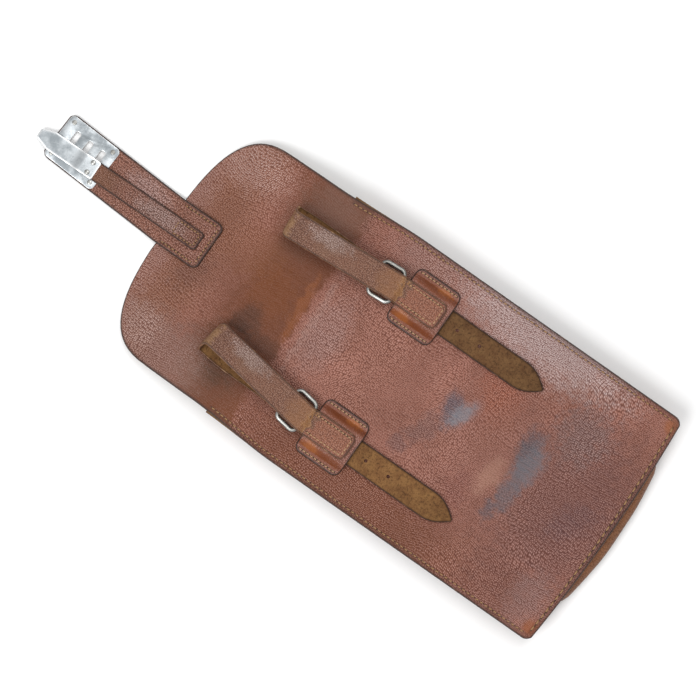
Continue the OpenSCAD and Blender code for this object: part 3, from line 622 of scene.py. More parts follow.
def slab(name, top, under, uv, finishes, rim=0.7, cuts=(), edgeReach=1.1, steps=4, soilAndShade=None):
    # a sheet between two grids of points, with a rounded edge all round;
    # cuts names grid ends, "first" or "last", that stay flat because the sheet goes on in another piece.
    rows, cols = top.shape[:2]
    count = rows * cols
    index = np.arange(count).reshape(rows, cols)
    ring = list(index[0, :-1]) + list(index[:-1, -1]) + list(index[-1, :0:-1]) + list(index[:0:-1, 0])
    ringSize = len(ring)
    flatTop, flatUnder = top.reshape(-1, 3), under.reshape(-1, 3)
    upper, lower = flatTop[ring], flatUnder[ring]
    cutRows = [row for row, word in ((0, "first"), (rows - 1, "last")) if word in cuts]
    ends = [np.array(ring) // cols == row for row in cutRows]
    onCut = np.any(ends, axis=0) if ends else np.zeros(ringSize, bool)
    tangent = np.roll(upper, -1, 0) - np.roll(upper, 1, 0)
    up = upper - lower
    outward = np.cross(tangent, up)
    outward /= np.linalg.norm(outward, axis=1)[:, None] + 1e-9
    centre = flatTop.mean(0)
    if np.sum((upper - centre) * outward) < 0:
        outward = -outward
    reach = np.where(onCut, 0.0, rim)[:, None]
    for i in range(ringSize):
        if onCut[i] and ring[i] % cols in (0, cols - 1):
            # at a cut's two corners the rounded edge carries on straight
            side = (i + 1) % ringSize if onCut[i - 1] else i - 1
            outward[i] = outward[side]
            reach[i] = rim
    points = [flatTop, flatUnder]
    for step in range(1, steps):
        angle = math.pi * step / steps
        points.append((upper + lower) / 2 + up / 2 * math.cos(angle) + outward * reach * math.sin(angle))
    points = np.concatenate(points)
    faces, faceFinish, uvs = [], [], []
    flatUv = uv.reshape(-1, 2)
    for r in range(rows - 1):
        for c in range(cols - 1):
            quad = [index[r, c], index[r, c + 1], index[r + 1, c + 1], index[r + 1, c]]
            faces.append([int(i) for i in quad])
            uvs.extend(flatUv[quad])
            faceFinish.append(0)
            quad.reverse()
            faces.append([int(i) + count for i in quad])
            uvs.extend(flatUv[quad])
            faceFinish.append(1)
    loops = [np.array(ring)]
    loops += [2 * count + ringSize * step + np.arange(ringSize) for step in range(steps - 1)]
    loops.append(np.array(ring) + count)
    lengths = np.linalg.norm(np.roll(upper, -1, 0) - upper, axis=1)
    travel = np.concatenate([[0], np.cumsum(lengths)])
    thick = float(np.linalg.norm(up, axis=1).mean())
    for step in range(steps):
        a, b = loops[step], loops[step + 1]
        v0, v1 = thick * step / steps, thick * (step + 1) / steps
        for i in range(ringSize):
            j = (i + 1) % ringSize
            faces.append([int(a[j]), int(a[i]), int(b[i]), int(b[j])])
            uvs.extend([(travel[i + 1], v0), (travel[i], v0), (travel[i], v1), (travel[i + 1], v1)])
            faceFinish.append(2)
    near = np.zeros(len(points))
    edgeDistance = distanceToEdge(top, onCutFirst="first" in cuts, onCutLast="last" in cuts)
    near[:count] = np.exp(-(edgeDistance.ravel() / edgeReach) ** 2)
    # extra darkening of the edge colour: on the body sheet, painted shade in the seam furrow and a darker
    # strip outside it
    if soilAndShade is not None:
        near[:count] = np.maximum(near[:count], soilAndShade.ravel())
    near[count:2 * count] = near[:count]
    near[2 * count:] = 1.0
    sharp = set()
    for row in cutRows:
        sharp |= {int(i) for i in index[row]} | {int(i) + count for i in index[row]}
    piece = newPiece(name, points, faces, finishes, uvs, faceFinish, near, sharp)
    return fixNormals(piece)


def distanceToEdge(top, onCutFirst=False, onCutLast=False):
    # how far each grid point is from the sheet's own edges, measured along the grid
    across = np.linalg.norm(np.diff(top, axis=1), axis=2)
    along = np.linalg.norm(np.diff(top, axis=0), axis=2)
    left = np.concatenate([np.zeros((top.shape[0], 1)), np.cumsum(across, 1)], 1)
    bottom = np.concatenate([np.zeros((1, top.shape[1])), np.cumsum(along, 0)], 0)
    nearest = np.minimum(left, left[:, -1:] - left)
    if not onCutFirst:
        nearest = np.minimum(nearest, bottom)
    if not onCutLast:
        nearest = np.minimum(nearest, bottom[-1:] - bottom)
    return nearest


def fixNormals(piece):
    bm = bmesh.new()
    bm.from_mesh(piece.data)
    bmesh.ops.recalc_face_normals(bm, faces=bm.faces)
    bm.to_mesh(piece.data)
    bm.free()
    return piece


def spread(start, end, step):
    return np.linspace(start, end, max(int(round(abs(end - start) / step)), 1) + 1)


def edgeColumns(half, middleStep, near=(0, 0.4, 0.9, 1.5, 2.2, 3.0)):
    # positions across a strip, from -1 to 1: close together at the edges
    inner = half - near[-1]
    middle = spread(-inner, inner, middleStep)[1:-1]
    left = [-(half - d) for d in near]
    return np.array(left + list(middle) + [-x for x in reversed(left)]) / half


def strip(name, stations, halfWidth, thickness, columns, finishes, crown=0.0, crease=0.0, relief=None,
          **slabArgs):
    # a strap along stations of (centre, across, up, length along it); halfWidth is a number or a function.
    rows = len(stations)
    top = np.zeros((rows, len(columns), 3))
    under = np.zeros_like(top)
    uv = np.zeros((rows, len(columns), 2))
    rim = slabArgs.get("rim", 0.7)
    for r, (centre, across, up, along) in enumerate(stations):
        half = (halfWidth(along) if callable(halfWidth) else halfWidth) - rim
        for c, k in enumerate(columns):
            x = k * half
            inset = half - abs(x)
            lift = crown * (1 - k * k) - crease * bell(inset - 1.3, 0.45) - 0.25 * bell(inset, 0.5)
            if relief:
                lift += relief(x, along)
            base = centre + across * x
            top[r, c] = base + up * (thickness / 2 + lift)
            under[r, c] = base - up * (thickness / 2)
            uv[r, c] = (x, along)
    return slab(name, top, under, uv, finishes, **slabArgs)


def stationsAlong(route, sideways):
    # route is points in mm; sideways gives the across direction at each; returns the stations of a strip
    route = np.asarray(route, float)
    heading = np.gradient(route, axis=0)
    heading /= np.linalg.norm(heading, axis=1)[:, None]
    along = np.concatenate([[0], np.cumsum(np.linalg.norm(np.diff(route, axis=0), axis=1))])
    stations = []
    for i, point in enumerate(route):
        across = np.asarray(sideways(i), float)
        up = np.cross(across, heading[i])
        stations.append((point, across, up / np.linalg.norm(up), along[i]))
    return stations


class Stitching:
    # collects stitches and their holes, and makes one piece of them
    def __init__(self, name, finish, radius=0.42):
        self.name = name
        self.finish = finish
        self.radius = radius
        self.points = []
        self.faces = []
        self.uvs = []
        self.marks = []

    def tube(self, rings, mark):
        sides = len(rings[0])
        base = len(self.points)
        for ring in rings:
            self.points.extend(ring)
        for r in range(len(rings) - 1):
            for i in range(sides):
                j = (i + 1) % sides
                quad = (r * sides + i, r * sides + j, (r + 1) * sides + j, (r + 1) * sides + i)
                self.faces.append([base + q for q in quad])
                self.uvs.extend([(i, r * 2), (i + 1, r * 2), (i + 1, r * 2 + 2), (i, r * 2 + 2)])
                self.marks.append(mark)
        for ring, order in ((0, range(sides - 1, -1, -1)), (len(rings) - 1, range(sides))):
            self.faces.append([base + ring * sides + i for i in order])
            self.uvs.extend([(math.cos(i), math.sin(i)) for i in range(sides)])
            self.marks.append(mark)

    def hole(self, at, up, along, radius):
        # a small dark ring round each stitch end, painted shade standing for the hole
        side = np.cross(up, along)
        rings = []
        for height, size in ((-0.25, 0.6), (0.03, 1.0), (0.07, 0.75)):
            ring = [at + up * height + (along * math.cos(a) + side * math.sin(a)) * radius * size
                    for a in np.arange(8) * math.pi / 4]
            rings.append(ring)
        self.tube(rings, 1)

    def stitch(self, a, b, up, proud=0.3):
        along = (b - a) / np.linalg.norm(b - a)
        side = np.cross(up, along)
        length = np.linalg.norm(b - a)
        rings = []
        for share, height, tip in ((0.02, -0.4, 75), (0.07, 0.1, 40), (0.3, proud, 8),
                                   (0.7, proud, -8), (0.93, 0.1, -40), (0.98, -0.4, -75)):
            t = math.radians(tip)
            lean = up * math.cos(t) - along * math.sin(t)
            middle = a + along * length * share + up * height
            ring = [middle + (side * math.cos(n) + lean * math.sin(n)) * self.radius
                    for n in np.arange(6) * math.pi / 3]
            rings.append(ring)
        self.tube(rings, 0)
        self.hole(a, up, along, self.radius * 1.9)
        self.hole(b, up, along, self.radius * 1.9)

    def row(self, surface, start, end, pitch, share=0.72, wobble=0.12, **stitchArgs):
        # surface(t) gives a point and its up direction for t in mm between start and end
        count = max(int(round((end - start) / pitch)), 1)
        pitch = (end - start) / count
        for i in range(count):
            t = start + pitch * (i + 0.5)
            half = pitch * share / 2
            (a, upA), (b, _) = surface(t - half), surface(t + half)
            shake = np.array([dice.uniform(-wobble, wobble), dice.uniform(-wobble, wobble), 0])
            self.stitch(a + shake, b - shake, upA, **stitchArgs)

    def straightRow(self, origin, direction, up, start, end, pitch, **stitchArgs):
        self.row(lambda t: (origin + direction * t, up), start, end, pitch, **stitchArgs)

    def finishPiece(self):
        piece = newPiece(self.name, self.points, self.faces, [self.finish, stitchHole], self.uvs, self.marks)
        return fixNormals(piece)


def lathe(name, profile, centre, finishes, segments=28):
    # a turned piece standing upright: profile is (radius, height) pairs from the bottom to the top
    points, faces = [], []
    for radius, height in profile:
        for i in range(segments):
            a = 2 * math.pi * i / segments
            points.append(np.array(centre) + np.array((radius * math.cos(a), radius * math.sin(a), height)))
    for r in range(len(profile) - 1):
        for i in range(segments):
            j = (i + 1) % segments
            faces.append([r * segments + i, r * segments + j, (r + 1) * segments + j, (r + 1) * segments + i])
    faces.append(list(range(segments - 1, -1, -1)))
    faces.append([(len(profile) - 1) * segments + i for i in range(segments)])
    return fixNormals(newPiece(name, points, faces, finishes))


def wire(name, route, radius, finishes, sides=16):
    # a round wire bent along a closed route
    route = np.asarray(route, float)
    count = len(route)
    points, faces = [], []
    side = None
    for i in range(count):
        heading = Vector(route[(i + 1) % count] - route[i - 1]).normalized()
        if side is None:
            side = heading.orthogonal().normalized()
        side = (side - heading * side.dot(heading)).normalized()
        other = heading.cross(side)
        for n in range(sides):
            a = 2 * math.pi * n / sides
            points.append(route[i] + radius * np.array(side * math.cos(a) + other * math.sin(a)))
    for i in range(count):
        for n in range(sides):
            m = (n + 1) % sides
            j = (i + 1) % count
            faces.append([i * sides + n, i * sides + m, j * sides + m, j * sides + n])
    return fixNormals(newPiece(name, points, faces, finishes))


def punch(piece, cutters, finish):
    # cuts holes with other meshes, then removes the cutters
    piece.data.materials.append(finish)
    for cutter in cutters:
        cutter.data.materials.clear()
        for _ in range(len(piece.data.materials) - 1):
            cutter.data.materials.append(None)
        cutter.data.materials.append(finish)
        for face in cutter.data.polygons:
            face.material_index = len(piece.data.materials) - 1
        modifier = piece.modifiers.new("punch", "BOOLEAN")
        modifier.object = cutter
        modifier.operation = "DIFFERENCE"
        modifier.solver = "EXACT"
    bpy.context.view_layer.update()
    result = bpy.data.meshes.new_from_object(piece.evaluated_get(bpy.context.evaluated_depsgraph_get()))
    piece.modifiers.clear()
    piece.data = result
    result.set_sharp_from_angle(angle=math.radians(50))
    for cutter in cutters:
        bpy.data.objects.remove(cutter)
    return piece


def plate(name, outline, slots, low, thickness, bevel, place, finishes):
    # a flat sheet-metal plate with openings; place maps flat x, y, z in mm to the frame
    curve = bpy.data.curves.new(name, "CURVE")
    curve.dimensions = "2D"
    curve.fill_mode = "BOTH"
    curve.extrude = (thickness / 2 - bevel) * mm
    curve.bevel_depth = bevel * mm
    curve.bevel_resolution = 2
    curve.offset = -bevel * mm
    for loop in [outline] + slots:
        spline = curve.splines.new("POLY")
        spline.points.add(len(loop) - 1)
        spline.use_cyclic_u = True
        for point, (x, y) in zip(spline.points, loop):
            point.co = (x * mm, y * mm, 0, 1)
    holder = bpy.data.objects.new(name, curve)
    bpy.context.scene.collection.objects.link(holder)
    bpy.context.view_layer.update()
    mesh = bpy.data.meshes.new_from_object(holder.evaluated_get(bpy.context.evaluated_depsgraph_get()))
    bpy.data.objects.remove(holder)
    bm = bmesh.new()
    bm.from_mesh(mesh)
    bmesh.ops.remove_doubles(bm, verts=bm.verts, dist=0.00002)
    bmesh.ops.recalc_face_normals(bm, faces=bm.faces)
    for vert in bm.verts:
        x, y, z = vert.co / mm
        vert.co = Vector(place(x, y, z + low + thickness / 2)) * mm
    bm.to_mesh(mesh)
    bm.free()
    mesh.materials.clear()
    for finish in finishes:
        mesh.materials.append(finish)
    for face in mesh.polygons:
        # the second finish goes on the rounded rims, where it is a painted highlight
        face.material_index = 0 if abs(face.normal.z) > 0.985 else len(finishes) - 1
    mesh.shade_smooth()
    mesh.set_sharp_from_angle(angle=math.radians(35))
    piece = bpy.data.objects.new(name, mesh)
    bpy.context.scene.collection.objects.link(piece)
    return piece


def roundedLoop(halfX, y0, y1, radius, corners=6):
    loop = []
    for x, y, turn in ((halfX - radius, y0 + radius, -90), (halfX - radius, y1 - radius, 0),
                       (-halfX + radius, y1 - radius, 90), (-halfX + radius, y0 + radius, 180)):
        for i in range(corners + 1):
            a = math.radians(turn + 90 * i / corners)
            loop.append((x + radius * math.cos(a), y + radius * math.sin(a)))
    return loop


# the body sheet: back panel, mouth strip and flap are one hide

backLow, backHigh = nodeBox("back_panel")
flapLow, flapHigh = nodeBox("flap")
fold1, fold2 = pivotOf("flap_fold"), pivotOf("flap_turn")
sheet = {
    "thick": backHigh[2] - backLow[2],
    "half": backHigh[0],
    "bottom": backLow[1],
    "flapHalf": flapHigh[0] - 0.5,
    "flapRound": 55.0,
    "cornerRadius": 7.0,
    "seamInset": 4.5,
    "ripple": 0.9,
    "bow": 4.2,
    "curl": 1.3,
    "foldSoft": 15.0,
}
mouthAt = fold1[1] - sheet["bottom"]
bridgeSlope = math.atan2(fold1[2] - fold2[2], fold2[1] - fold1[1])
bridgeLength = math.hypot(fold2[1] - fold1[1], fold1[2] - fold2[2])
turnAt = mouthAt + bridgeLength
flapLength = fold2[2] / math.sin(2 * bridgeSlope)
sheetEnd = turnAt + flapLength
joinAt = mouthAt + bridgeLength / 2

# the sheet's underside from the bottom seam to the flap's end, bent softly at the two folds
pathStep = 0.5
pathAlong = np.arange(0, sheetEnd + 2, pathStep)
pathSlope = bridgeSlope * (smooth((pathAlong - mouthAt) / sheet["foldSoft"] + 0.5)
                           + smooth((pathAlong - turnAt) / sheet["foldSoft"] + 0.5))
pathY = sheet["bottom"] + np.concatenate([[0], np.cumsum(np.cos(pathSlope) * pathStep)[:-1]])
pathZ = backLow[2] - np.concatenate([[0], np.cumsum(np.sin(pathSlope) * pathStep)[:-1]])


def sheetHalf(along):
    if along > sheetEnd - sheet["flapRound"]:
        share = min((along - (sheetEnd - sheet["flapRound"])) / sheet["flapRound"], 1.0)
        return sheet["flapHalf"] * (1 - share ** 3) ** (1 / 3)
    taper = smooth((along - mouthAt + 66) / 80)
    half = sheet["half"] + (sheet["flapHalf"] - sheet["half"]) * taper
    if along < sheet["cornerRadius"]:
        half -= rounding(along, sheetEnd, sheet["cornerRadius"])
    return half


def calm(x, along):
    # 0 where straps and patches lie on the sheet, 1 where it may ripple
    y = along + sheet["bottom"]
    besideStraps = smooth((abs(abs(x) - 63) - 26) / 14)
    beyondStraps = smooth((y - 80) / 20) + smooth((-170 - y) / 20)
    return max(besideStraps, min(beyondStraps, 1.0))


def sheetLift(x, along):
    # small height changes of the grain side: seam furrow, ripples and creases at the mouth
    half = sheetHalf(along)
    inset = half - abs(x)
    nearest = min(inset, along) if along < mouthAt else inset
    lift = -0.35 * bell(nearest - sheet["seamInset"], 0.8) * smooth((mouthAt - along) / 6)
    lift -= 0.14 * bell(inset - 2.2, 0.6) * smooth((along - mouthAt) / 6)
    lift -= 0.3 * bell(nearest, 0.6)
    free = smooth((nearest - 7) / 30)
    ripple = wander(x, along, 75, 2.0) + 0.35 * wander(x, along, 28, 7.0) - 0.75
    lift += sheet["ripple"] * min(ripple, 0.1) * free * (0.25 + 0.75 * calm(x, along))
    creaseZone = bell(along - mouthAt - 3, 26)
    crease = abs(wander(x / 5, along, 5.5, 4.0))
    lift -= 0.3 * creaseZone * smooth(1 - crease * 5) * free
    return lift


def bottomBow(x):
    # how far the bottom seam bows out
    return sheet["bow"] * max(0.0, 1 - (x / (sheet["half"] - 3)) ** 2)


def sheetPoint(x, along, raised=0.0):
    slope = np.interp(along, pathAlong, pathSlope)
    up = np.array([0, math.sin(slope), math.cos(slope)])
    bow = bottomBow(x) * float(smooth(1 - along / 70))
    curl = sheet["curl"] * float(smooth((5.5 - along) / 6)) if along < 6 else 0.0
    base = np.array([x, np.interp(along, pathAlong, pathY) - bow, np.interp(along, pathAlong, pathZ) - curl])
    return base + up * raised, up


edgeSteps = (0, 0.5, 1.1, 1.7, 2.2, 2.7, 3.4, 4.0, 4.5, 5.0, 5.7, 7.0, 9.0, 12.0)


def sheetGrid(rows):
    top, under, uv, soilAndShade = [], [], [], []
    rim = 0.8
    for along in rows:
        half = sheetHalf(max(along, 0.0)) - rim
        shrink = min(1.0, half / 45)
        near = np.array(edgeSteps) * shrink
        inner = half - near[-1]
        middle = np.linspace(-inner, inner, 50)[1:-1]
        xs = np.concatenate([-(half - near), middle, (half - near)[::-1]])
        topRow, underRow, uvRow, seamShadeRow = [], [], [], []
        for x in xs:
            point, up = sheetPoint(x, along)
            topRow.append(point + up * (sheet["thick"] + sheetLift(x, along)))
            underRow.append(point)
            uvRow.append((x, along))
            # painted shade in the seam's furrow along the stitch line, and a darker strip between the seam
            # and the edge
            nearest = min(half + rim - abs(x), along) if along < mouthAt else 99
            outside = 0.45 * smooth((sheet["seamInset"] - nearest) / 2)
            seamShadeRow.append(max(0.5 * bell(nearest - sheet["seamInset"], 0.9), outside))
        top.append(topRow)
        under.append(underRow)
        uv.append(uvRow)
        soilAndShade.append(seamShadeRow)
    return {"top": np.array(top), "under": np.array(under), "uv": np.array(uv), "soilAndShade": np.array(soilAndShade)}


bottomRows = [0.8 + d for d in edgeSteps]
backRows = np.concatenate([bottomRows, spread(bottomRows[-1], 268, 4.0)[1:], spread(268, joinAt, 2.0)[1:]])
angles = np.radians(np.concatenate([np.arange(0, 80, 5), [80, 83, 86, 88.5]]))
roundStart = sheetEnd - sheet["flapRound"]
roundRows = roundStart + sheet["flapRound"] * np.sin(angles) ** (2 / 3)
flapRows = np.concatenate([
    spread(joinAt, turnAt + 20, 2.0), spread(turnAt + 20, roundStart, 3.5)[1:], roundRows[1:]])
flapRows[-1] -= 0.7

bodyArgs = {"finishes": [bodyLeather, fleshSide, darkEdge], "rim": 0.8, "edgeReach": 1.3}
backSheet = slab("backSheet", **sheetGrid(backRows), cuts=("last",), **bodyArgs)
flapSheet = slab("flapSheet", **sheetGrid(flapRows), cuts=("first",), **bodyArgs)

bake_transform(backSheet)
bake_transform(flapSheet)
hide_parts("back_panel", "flap_bridge")
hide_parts("flap")
print("body sheet made")

backSeam = Stitching("backSeam", brownThread, 0.45)
seam = {"pitch": 4.3, "bottomPitch": 6.2, "inset": 4.5}


def sideSeamAt(side):
    def surface(along):
        x = side * (sheetHalf(along) - seam["inset"])
        return sheetPoint(x, along, sheet["thick"] + sheetLift(x, along))
    return surface


def bottomSeamAt(x):
    return sheetPoint(x, seam["inset"], sheet["thick"] + sheetLift(x, seam["inset"]))


for side in (-1, 1):
    backSeam.row(sideSeamAt(side), 8, mouthAt - 2, seam["pitch"], share=0.6, proud=0.22)
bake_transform(backSeam.finishPiece())
bottomSeam = Stitching("bottomSeam", tanThread, 0.55)
seamEnd = sheet["half"] - 8
bottomSeam.row(bottomSeamAt, -seamEnd, seamEnd, seam["bottomPitch"], share=0.66, proud=0.3)
bottomSeamPiece = bottomSeam.finishPiece()
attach(bottomSeamPiece, "pouch")
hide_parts("back_thread")
print("back seams sewn")


# front panel and gusset

frontLow, frontHigh = nodeBox("front_panel")
gussetLow, gussetHigh = nodeBox("gusset")
mouthY = backHigh[1]
front = {
    "rise": frontHigh[2] - sheet["thick"],
    "landing": 12.0,
    "riseNear": sheet["bottom"] + 85,
    "riseFar": mouthY - 150,
}
landingEnd = sheet["bottom"] + front["landing"]
frontKnots = [sheet["bottom"] - 20, landingEnd, front["riseNear"], front["riseFar"], mouthY]
frontHeights = [0, 0, front["rise"], front["rise"], 0]


def frontHeight(y):
    # height of the front panel's outer face, its corners eased over a few millimetres
    near = [np.interp(y + d, frontKnots, frontHeights) for d in (-6, -3, 0, 3, 6)]
    return float(np.mean(near)) if sheet["bottom"] + 8 < y < mouthY - 8 else float(near[2])


def mouthTuck(y):
    # the sides draw in a little towards the mouth
    return 2.0 * float(smooth((y - mouthY + 60) / 60))


def frontGrid():
    rim = 0.8
    nearRows = sheet["bottom"] + np.array(bottomRows)
    rows = np.concatenate([nearRows, spread(nearRows[-1], mouthY - rim, 4.0)[1:]])
    top, under, uv = [], [], []
    for y in rows:
        half = sheet["half"] - rounding(y - sheet["bottom"], 900, sheet["cornerRadius"]) - mouthTuck(y) - rim
        near = np.array(edgeSteps)
        inner = half - near[-1]
        xs = np.concatenate([-(half - near), np.linspace(-inner, inner, 40)[1:-1], (half - near)[::-1]])
        z = frontHeight(y)
        slope = (frontHeight(y + 2) - frontHeight(y - 2)) / 4
        normal = np.array([0, -slope, 1]) / math.hypot(1, slope)
        topRow, underRow, uvRow = [], [], []
        for x in xs:
            inset = half - abs(x)
            nearest = min(inset, y - sheet["bottom"])
            dent = 0.3 * bell(nearest - 4.5, 0.8) + 0.25 * bell(nearest, 0.6)
            dent += 0.5 * smooth((nearest - 10) / 25) * max(wander(x, y, 60, 11.0) * 0.5 + 0.3, 0)
            # the grain side faces down, so the dents go up into the sheet
            topRow.append((x, y, max(z, 0.0) + dent * normal[2]))
            underRow.append(np.array([x, y, z]) + normal * sheet["thick"])
            uvRow.append((x, y + 900))
        top.append(topRow)
        under.append(underRow)
        uv.append(uvRow)
    return np.array(top), np.array(under), np.array(uv)


frontLook = dict(
    bodyLook, zones=[], seed=140.0,
    patches=[
        mark((8, 766), (40, 30), "6b4535", 0.6, fray=0.5, worn=0.4),
        mark((-40, 840), (50, 30), "5f3e31", 0.5, fray=0.6, worn=0.2),
    ],
)
frontLeather = leatherFinish("frontLeather", frontLook)
frontSheet = slab("frontSheet", *frontGrid(), [frontLeather, fleshSide, darkEdge], rim=0.8, edgeReach=1.3)
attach(frontSheet, "front")
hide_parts("front_panel")

frontSeam = Stitching("frontSeam", brownThread, 0.36)


def frontSeamAt(side):
    def surface(y):
        slope = (frontHeight(y + 2) - frontHeight(y - 2)) / 4
        down = np.array([0, slope, -1]) / math.hypot(1, slope)
        x = side * (sheet["half"] - seam["inset"] - 0.8 - mouthTuck(y))
        return np.array([x, y, frontHeight(y) + 0.28]), down
    return surface


for side in (-1, 1):
    frontSeam.row(frontSeamAt(side), sheet["bottom"] + 26, mouthY - 18, seam["pitch"], share=0.6, proud=0.05)
frontSeamPiece = frontSeam.finishPiece()
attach(frontSeamPiece, "front")
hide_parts("front_thread")

gusset = {"thick": 1.8, "seam": 7.0, "bulge": -gussetLow[1] + sheet["bottom"], "bulgeHalf": 84.0}


def gussetStations():
    # (x, y) on the seam line, outward direction, and how far the wall bulges past it
    half, corner = sheet["half"], 12.0
    bottom = sheet["bottom"]
    places = []
    for y in spread(mouthY - 0.5, bottom + corner, 5.0):
        places.append(((half - mouthTuck(y), y), (1, 0)))
    for a in np.radians(np.arange(10, 90, 10)):
        places.append(((half - corner + corner * math.cos(a), bottom + corner - corner * math.sin(a)),
                       (math.cos(a), -math.sin(a))))
    for x in spread(half - corner, -half + corner, 5.0):
        places.append(((x, bottom - bottomBow(x)), (0, -1)))
    for a in np.radians(np.arange(80, 0, -10)):
        places.append(((-half + corner - corner * math.cos(a), bottom + corner - corner * math.sin(a)),
                       (-math.cos(a), -math.sin(a))))
    for y in spread(bottom + corner, mouthY - 0.5, 5.0):
        places.append(((mouthTuck(y) - half, y), (-1, 0)))
    return places


def gussetGrid():
    outer, inner, uv = [], [], []
    travel = 0.0
    last = None
    for (x, y), (ox, oy) in gussetStations():
        out = np.array([ox, oy, 0.0])
        seat = np.array([x, y, 0.0])
        if last is not None:
            travel += np.linalg.norm(seat - last)
        last = seat
        low = frontHeight(y) + sheet["thick"] + 0.02
        high = backLow[2] - 0.02 - (sheet["curl"] if y < sheet["bottom"] + 3 else 0.0)
        swell = 0.0
        if oy == -1:
            share = max(0.0, 1 - (x / gusset["bulgeHalf"]) ** 2) ** 0.8
            swell = max(gusset["bulge"] * share - bottomBow(x), 0.0)
        wobble = 0.8 * wander(travel, 0, 30, 21.0)
        wall = -gusset["seam"] + (gusset["seam"] + swell) * smooth(swell / 4) + wobble
        t = gusset["thick"]
        # profile from the upper flange's edge, in to the wall, down and out to the lower flange's edge
        tall = high - low
        profile = [(-0.9, high), (-gusset["seam"] * 0.5, high), (-gusset["seam"] * 0.8, high - 0.2)]
        for k in np.linspace(0.12, 0.88, 9):
            belly = math.sin(math.pi * k) ** 0.7
            profile.append((-gusset["seam"] * 0.95 + (wall + gusset["seam"]) * belly, high - tall * k))
        profile += [(-gusset["seam"] * 0.8, low + 0.2), (-gusset["seam"] * 0.5, low), (-0.9, low)]
        profile = np.array(profile)
        # the flanges are as thick as the gusset leather, so the inner skin lies on the bag's inside
        d = np.gradient(profile, axis=0)
        n = np.stack([d[:, 1], -d[:, 0]], 1)
        n /= np.linalg.norm(n, axis=1)[:, None]
        outerRow, innerRow, uvRow = [], [], []
        girth = np.concatenate([[0], np.cumsum(np.linalg.norm(np.diff(profile, axis=0), axis=1))])
        for (r, z), (nr, nz), g in zip(profile, n, girth):
            outerRow.append(seat + out * r + np.array([0, 0, z]))
            innerRow.append(seat + out * (r + nr * t) + np.array([0, 0, z + nz * t]))
            uvRow.append((travel, g))
        outer.append(outerRow)
        inner.append(innerRow)
        uv.append(uvRow)
    return np.array(outer), np.array(inner), np.array(uv)


outerSkin, innerSkin, gussetUv = gussetGrid()
gussetSkin = slab("gussetSkin", outerSkin, innerSkin, gussetUv, [sideLeather, fleshSide, tanEdge], rim=0.4)
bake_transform(gussetSkin)
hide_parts("gusset")
print("front and gusset made")


# keeper patches, strap ends and loops, one set on each side
upright = np.array([0, 0, 1.0])
runLow, runHigh = nodeBox("strap_run_left")
patch = {"thick": 1.8, "radius": 6.0, "slope": 6.5, "edge": 0.9, "stitchInset": 3.2, "pitch": 3.6}
strap = {"thick": 2.0, "half": 11.5, "stitchInset": 3.6, "pitch": 3.4}
heelY, heelZ = pivotOf("loop_lift_left")[1:]
# the loop's shape, as distances from the heel bar and heights over it
loop = {"rise": 5.3, "foldAt": 94.2, "foldRadius": 5.5, "foldRest": 1.1, "barAt": 19.5, "barTop": 33.35,
        "gape": {"left": 7.5, "right": 4.5}, "wrinkles": {"left": 5.0, "right": 9.0}}


def makePatch(sideName):
    low, high = nodeBox("keeper_" + sideName)
    x0 = (low[0] + high[0]) / 2
    half = (high[0] - low[0]) / 2
    length = high[1] - low[1]
    domeUp = high[2] - backHigh[2] - patch["thick"]
    rim = 0.7

    def height(x):
        return domeUp * (1 - float(smooth((abs(x) - strap["half"] - 0.9) / patch["slope"])))

    rows = np.concatenate([[0, 0.4, 0.9, 1.6, 2.4, 3.4, 4.6, 6], spread(6, length - 2 * rim - 6, 3)[1:],
                           length - 2 * rim - np.array([4.6, 3.4, 2.4, 1.6, 0.9, 0.4, 0])])
    columns = edgeColumns(half, 1.0)
    top, under, uv = [], [], []
    for y in rows:
        w = half - rim - rounding(y, length - 2 * rim, patch["radius"] - rim)
        topRow, underRow, uvRow = [], [], []
        for k in columns:
            x = k * w
            slope = (height(x + 0.2) - height(x - 0.2)) / 0.4
            normal = np.array([-slope, 0, 1]) / math.hypot(1, slope)
            inset = w - abs(x)
            endInset = min(y, length - 2 * rim - y)
            groove = 0.22 * bell(min(inset, endInset) - 1.3, 0.4) + 0.2 * bell(min(inset, endInset), 0.5)
            groove += 0.25 * bell(inset - patch["stitchInset"] + rim, 0.55)
            base = np.array([x0 + x, low[1] + rim + y, backHigh[2] + 0.05 + height(x)])
            topRow.append(base + normal * (patch["thick"] - groove))
            underRow.append(base)
            uvRow.append((x, y))
        top.append(topRow)
        under.append(underRow)
        uv.append(uvRow)
    name = "patch" + sideName.capitalize()
    finishes = [patchLeather, fleshSide, darkEdge]
    piece = slab(name, np.array(top), np.array(under), np.array(uv), finishes, rim=rim, edgeReach=1.0)
    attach(piece, "pouch")
    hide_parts("keeper_" + sideName)

    sewing = Stitching(name + "Sewing", paleThread, 0.42)
    for side in (-1, 1):
        origin = np.array([x0 + side * (half - patch["stitchInset"]), 0, backHigh[2] + patch["thick"] - 0.12])
        sewing.straightRow(origin, np.array([0, 1, 0]), upright, low[1] + 3.5, high[1] - 3.5, patch["pitch"],
                           proud=0.22)
    sewn = sewing.finishPiece()
    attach(sewn, "pouch")
    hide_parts("keeper_thread_" + sideName)


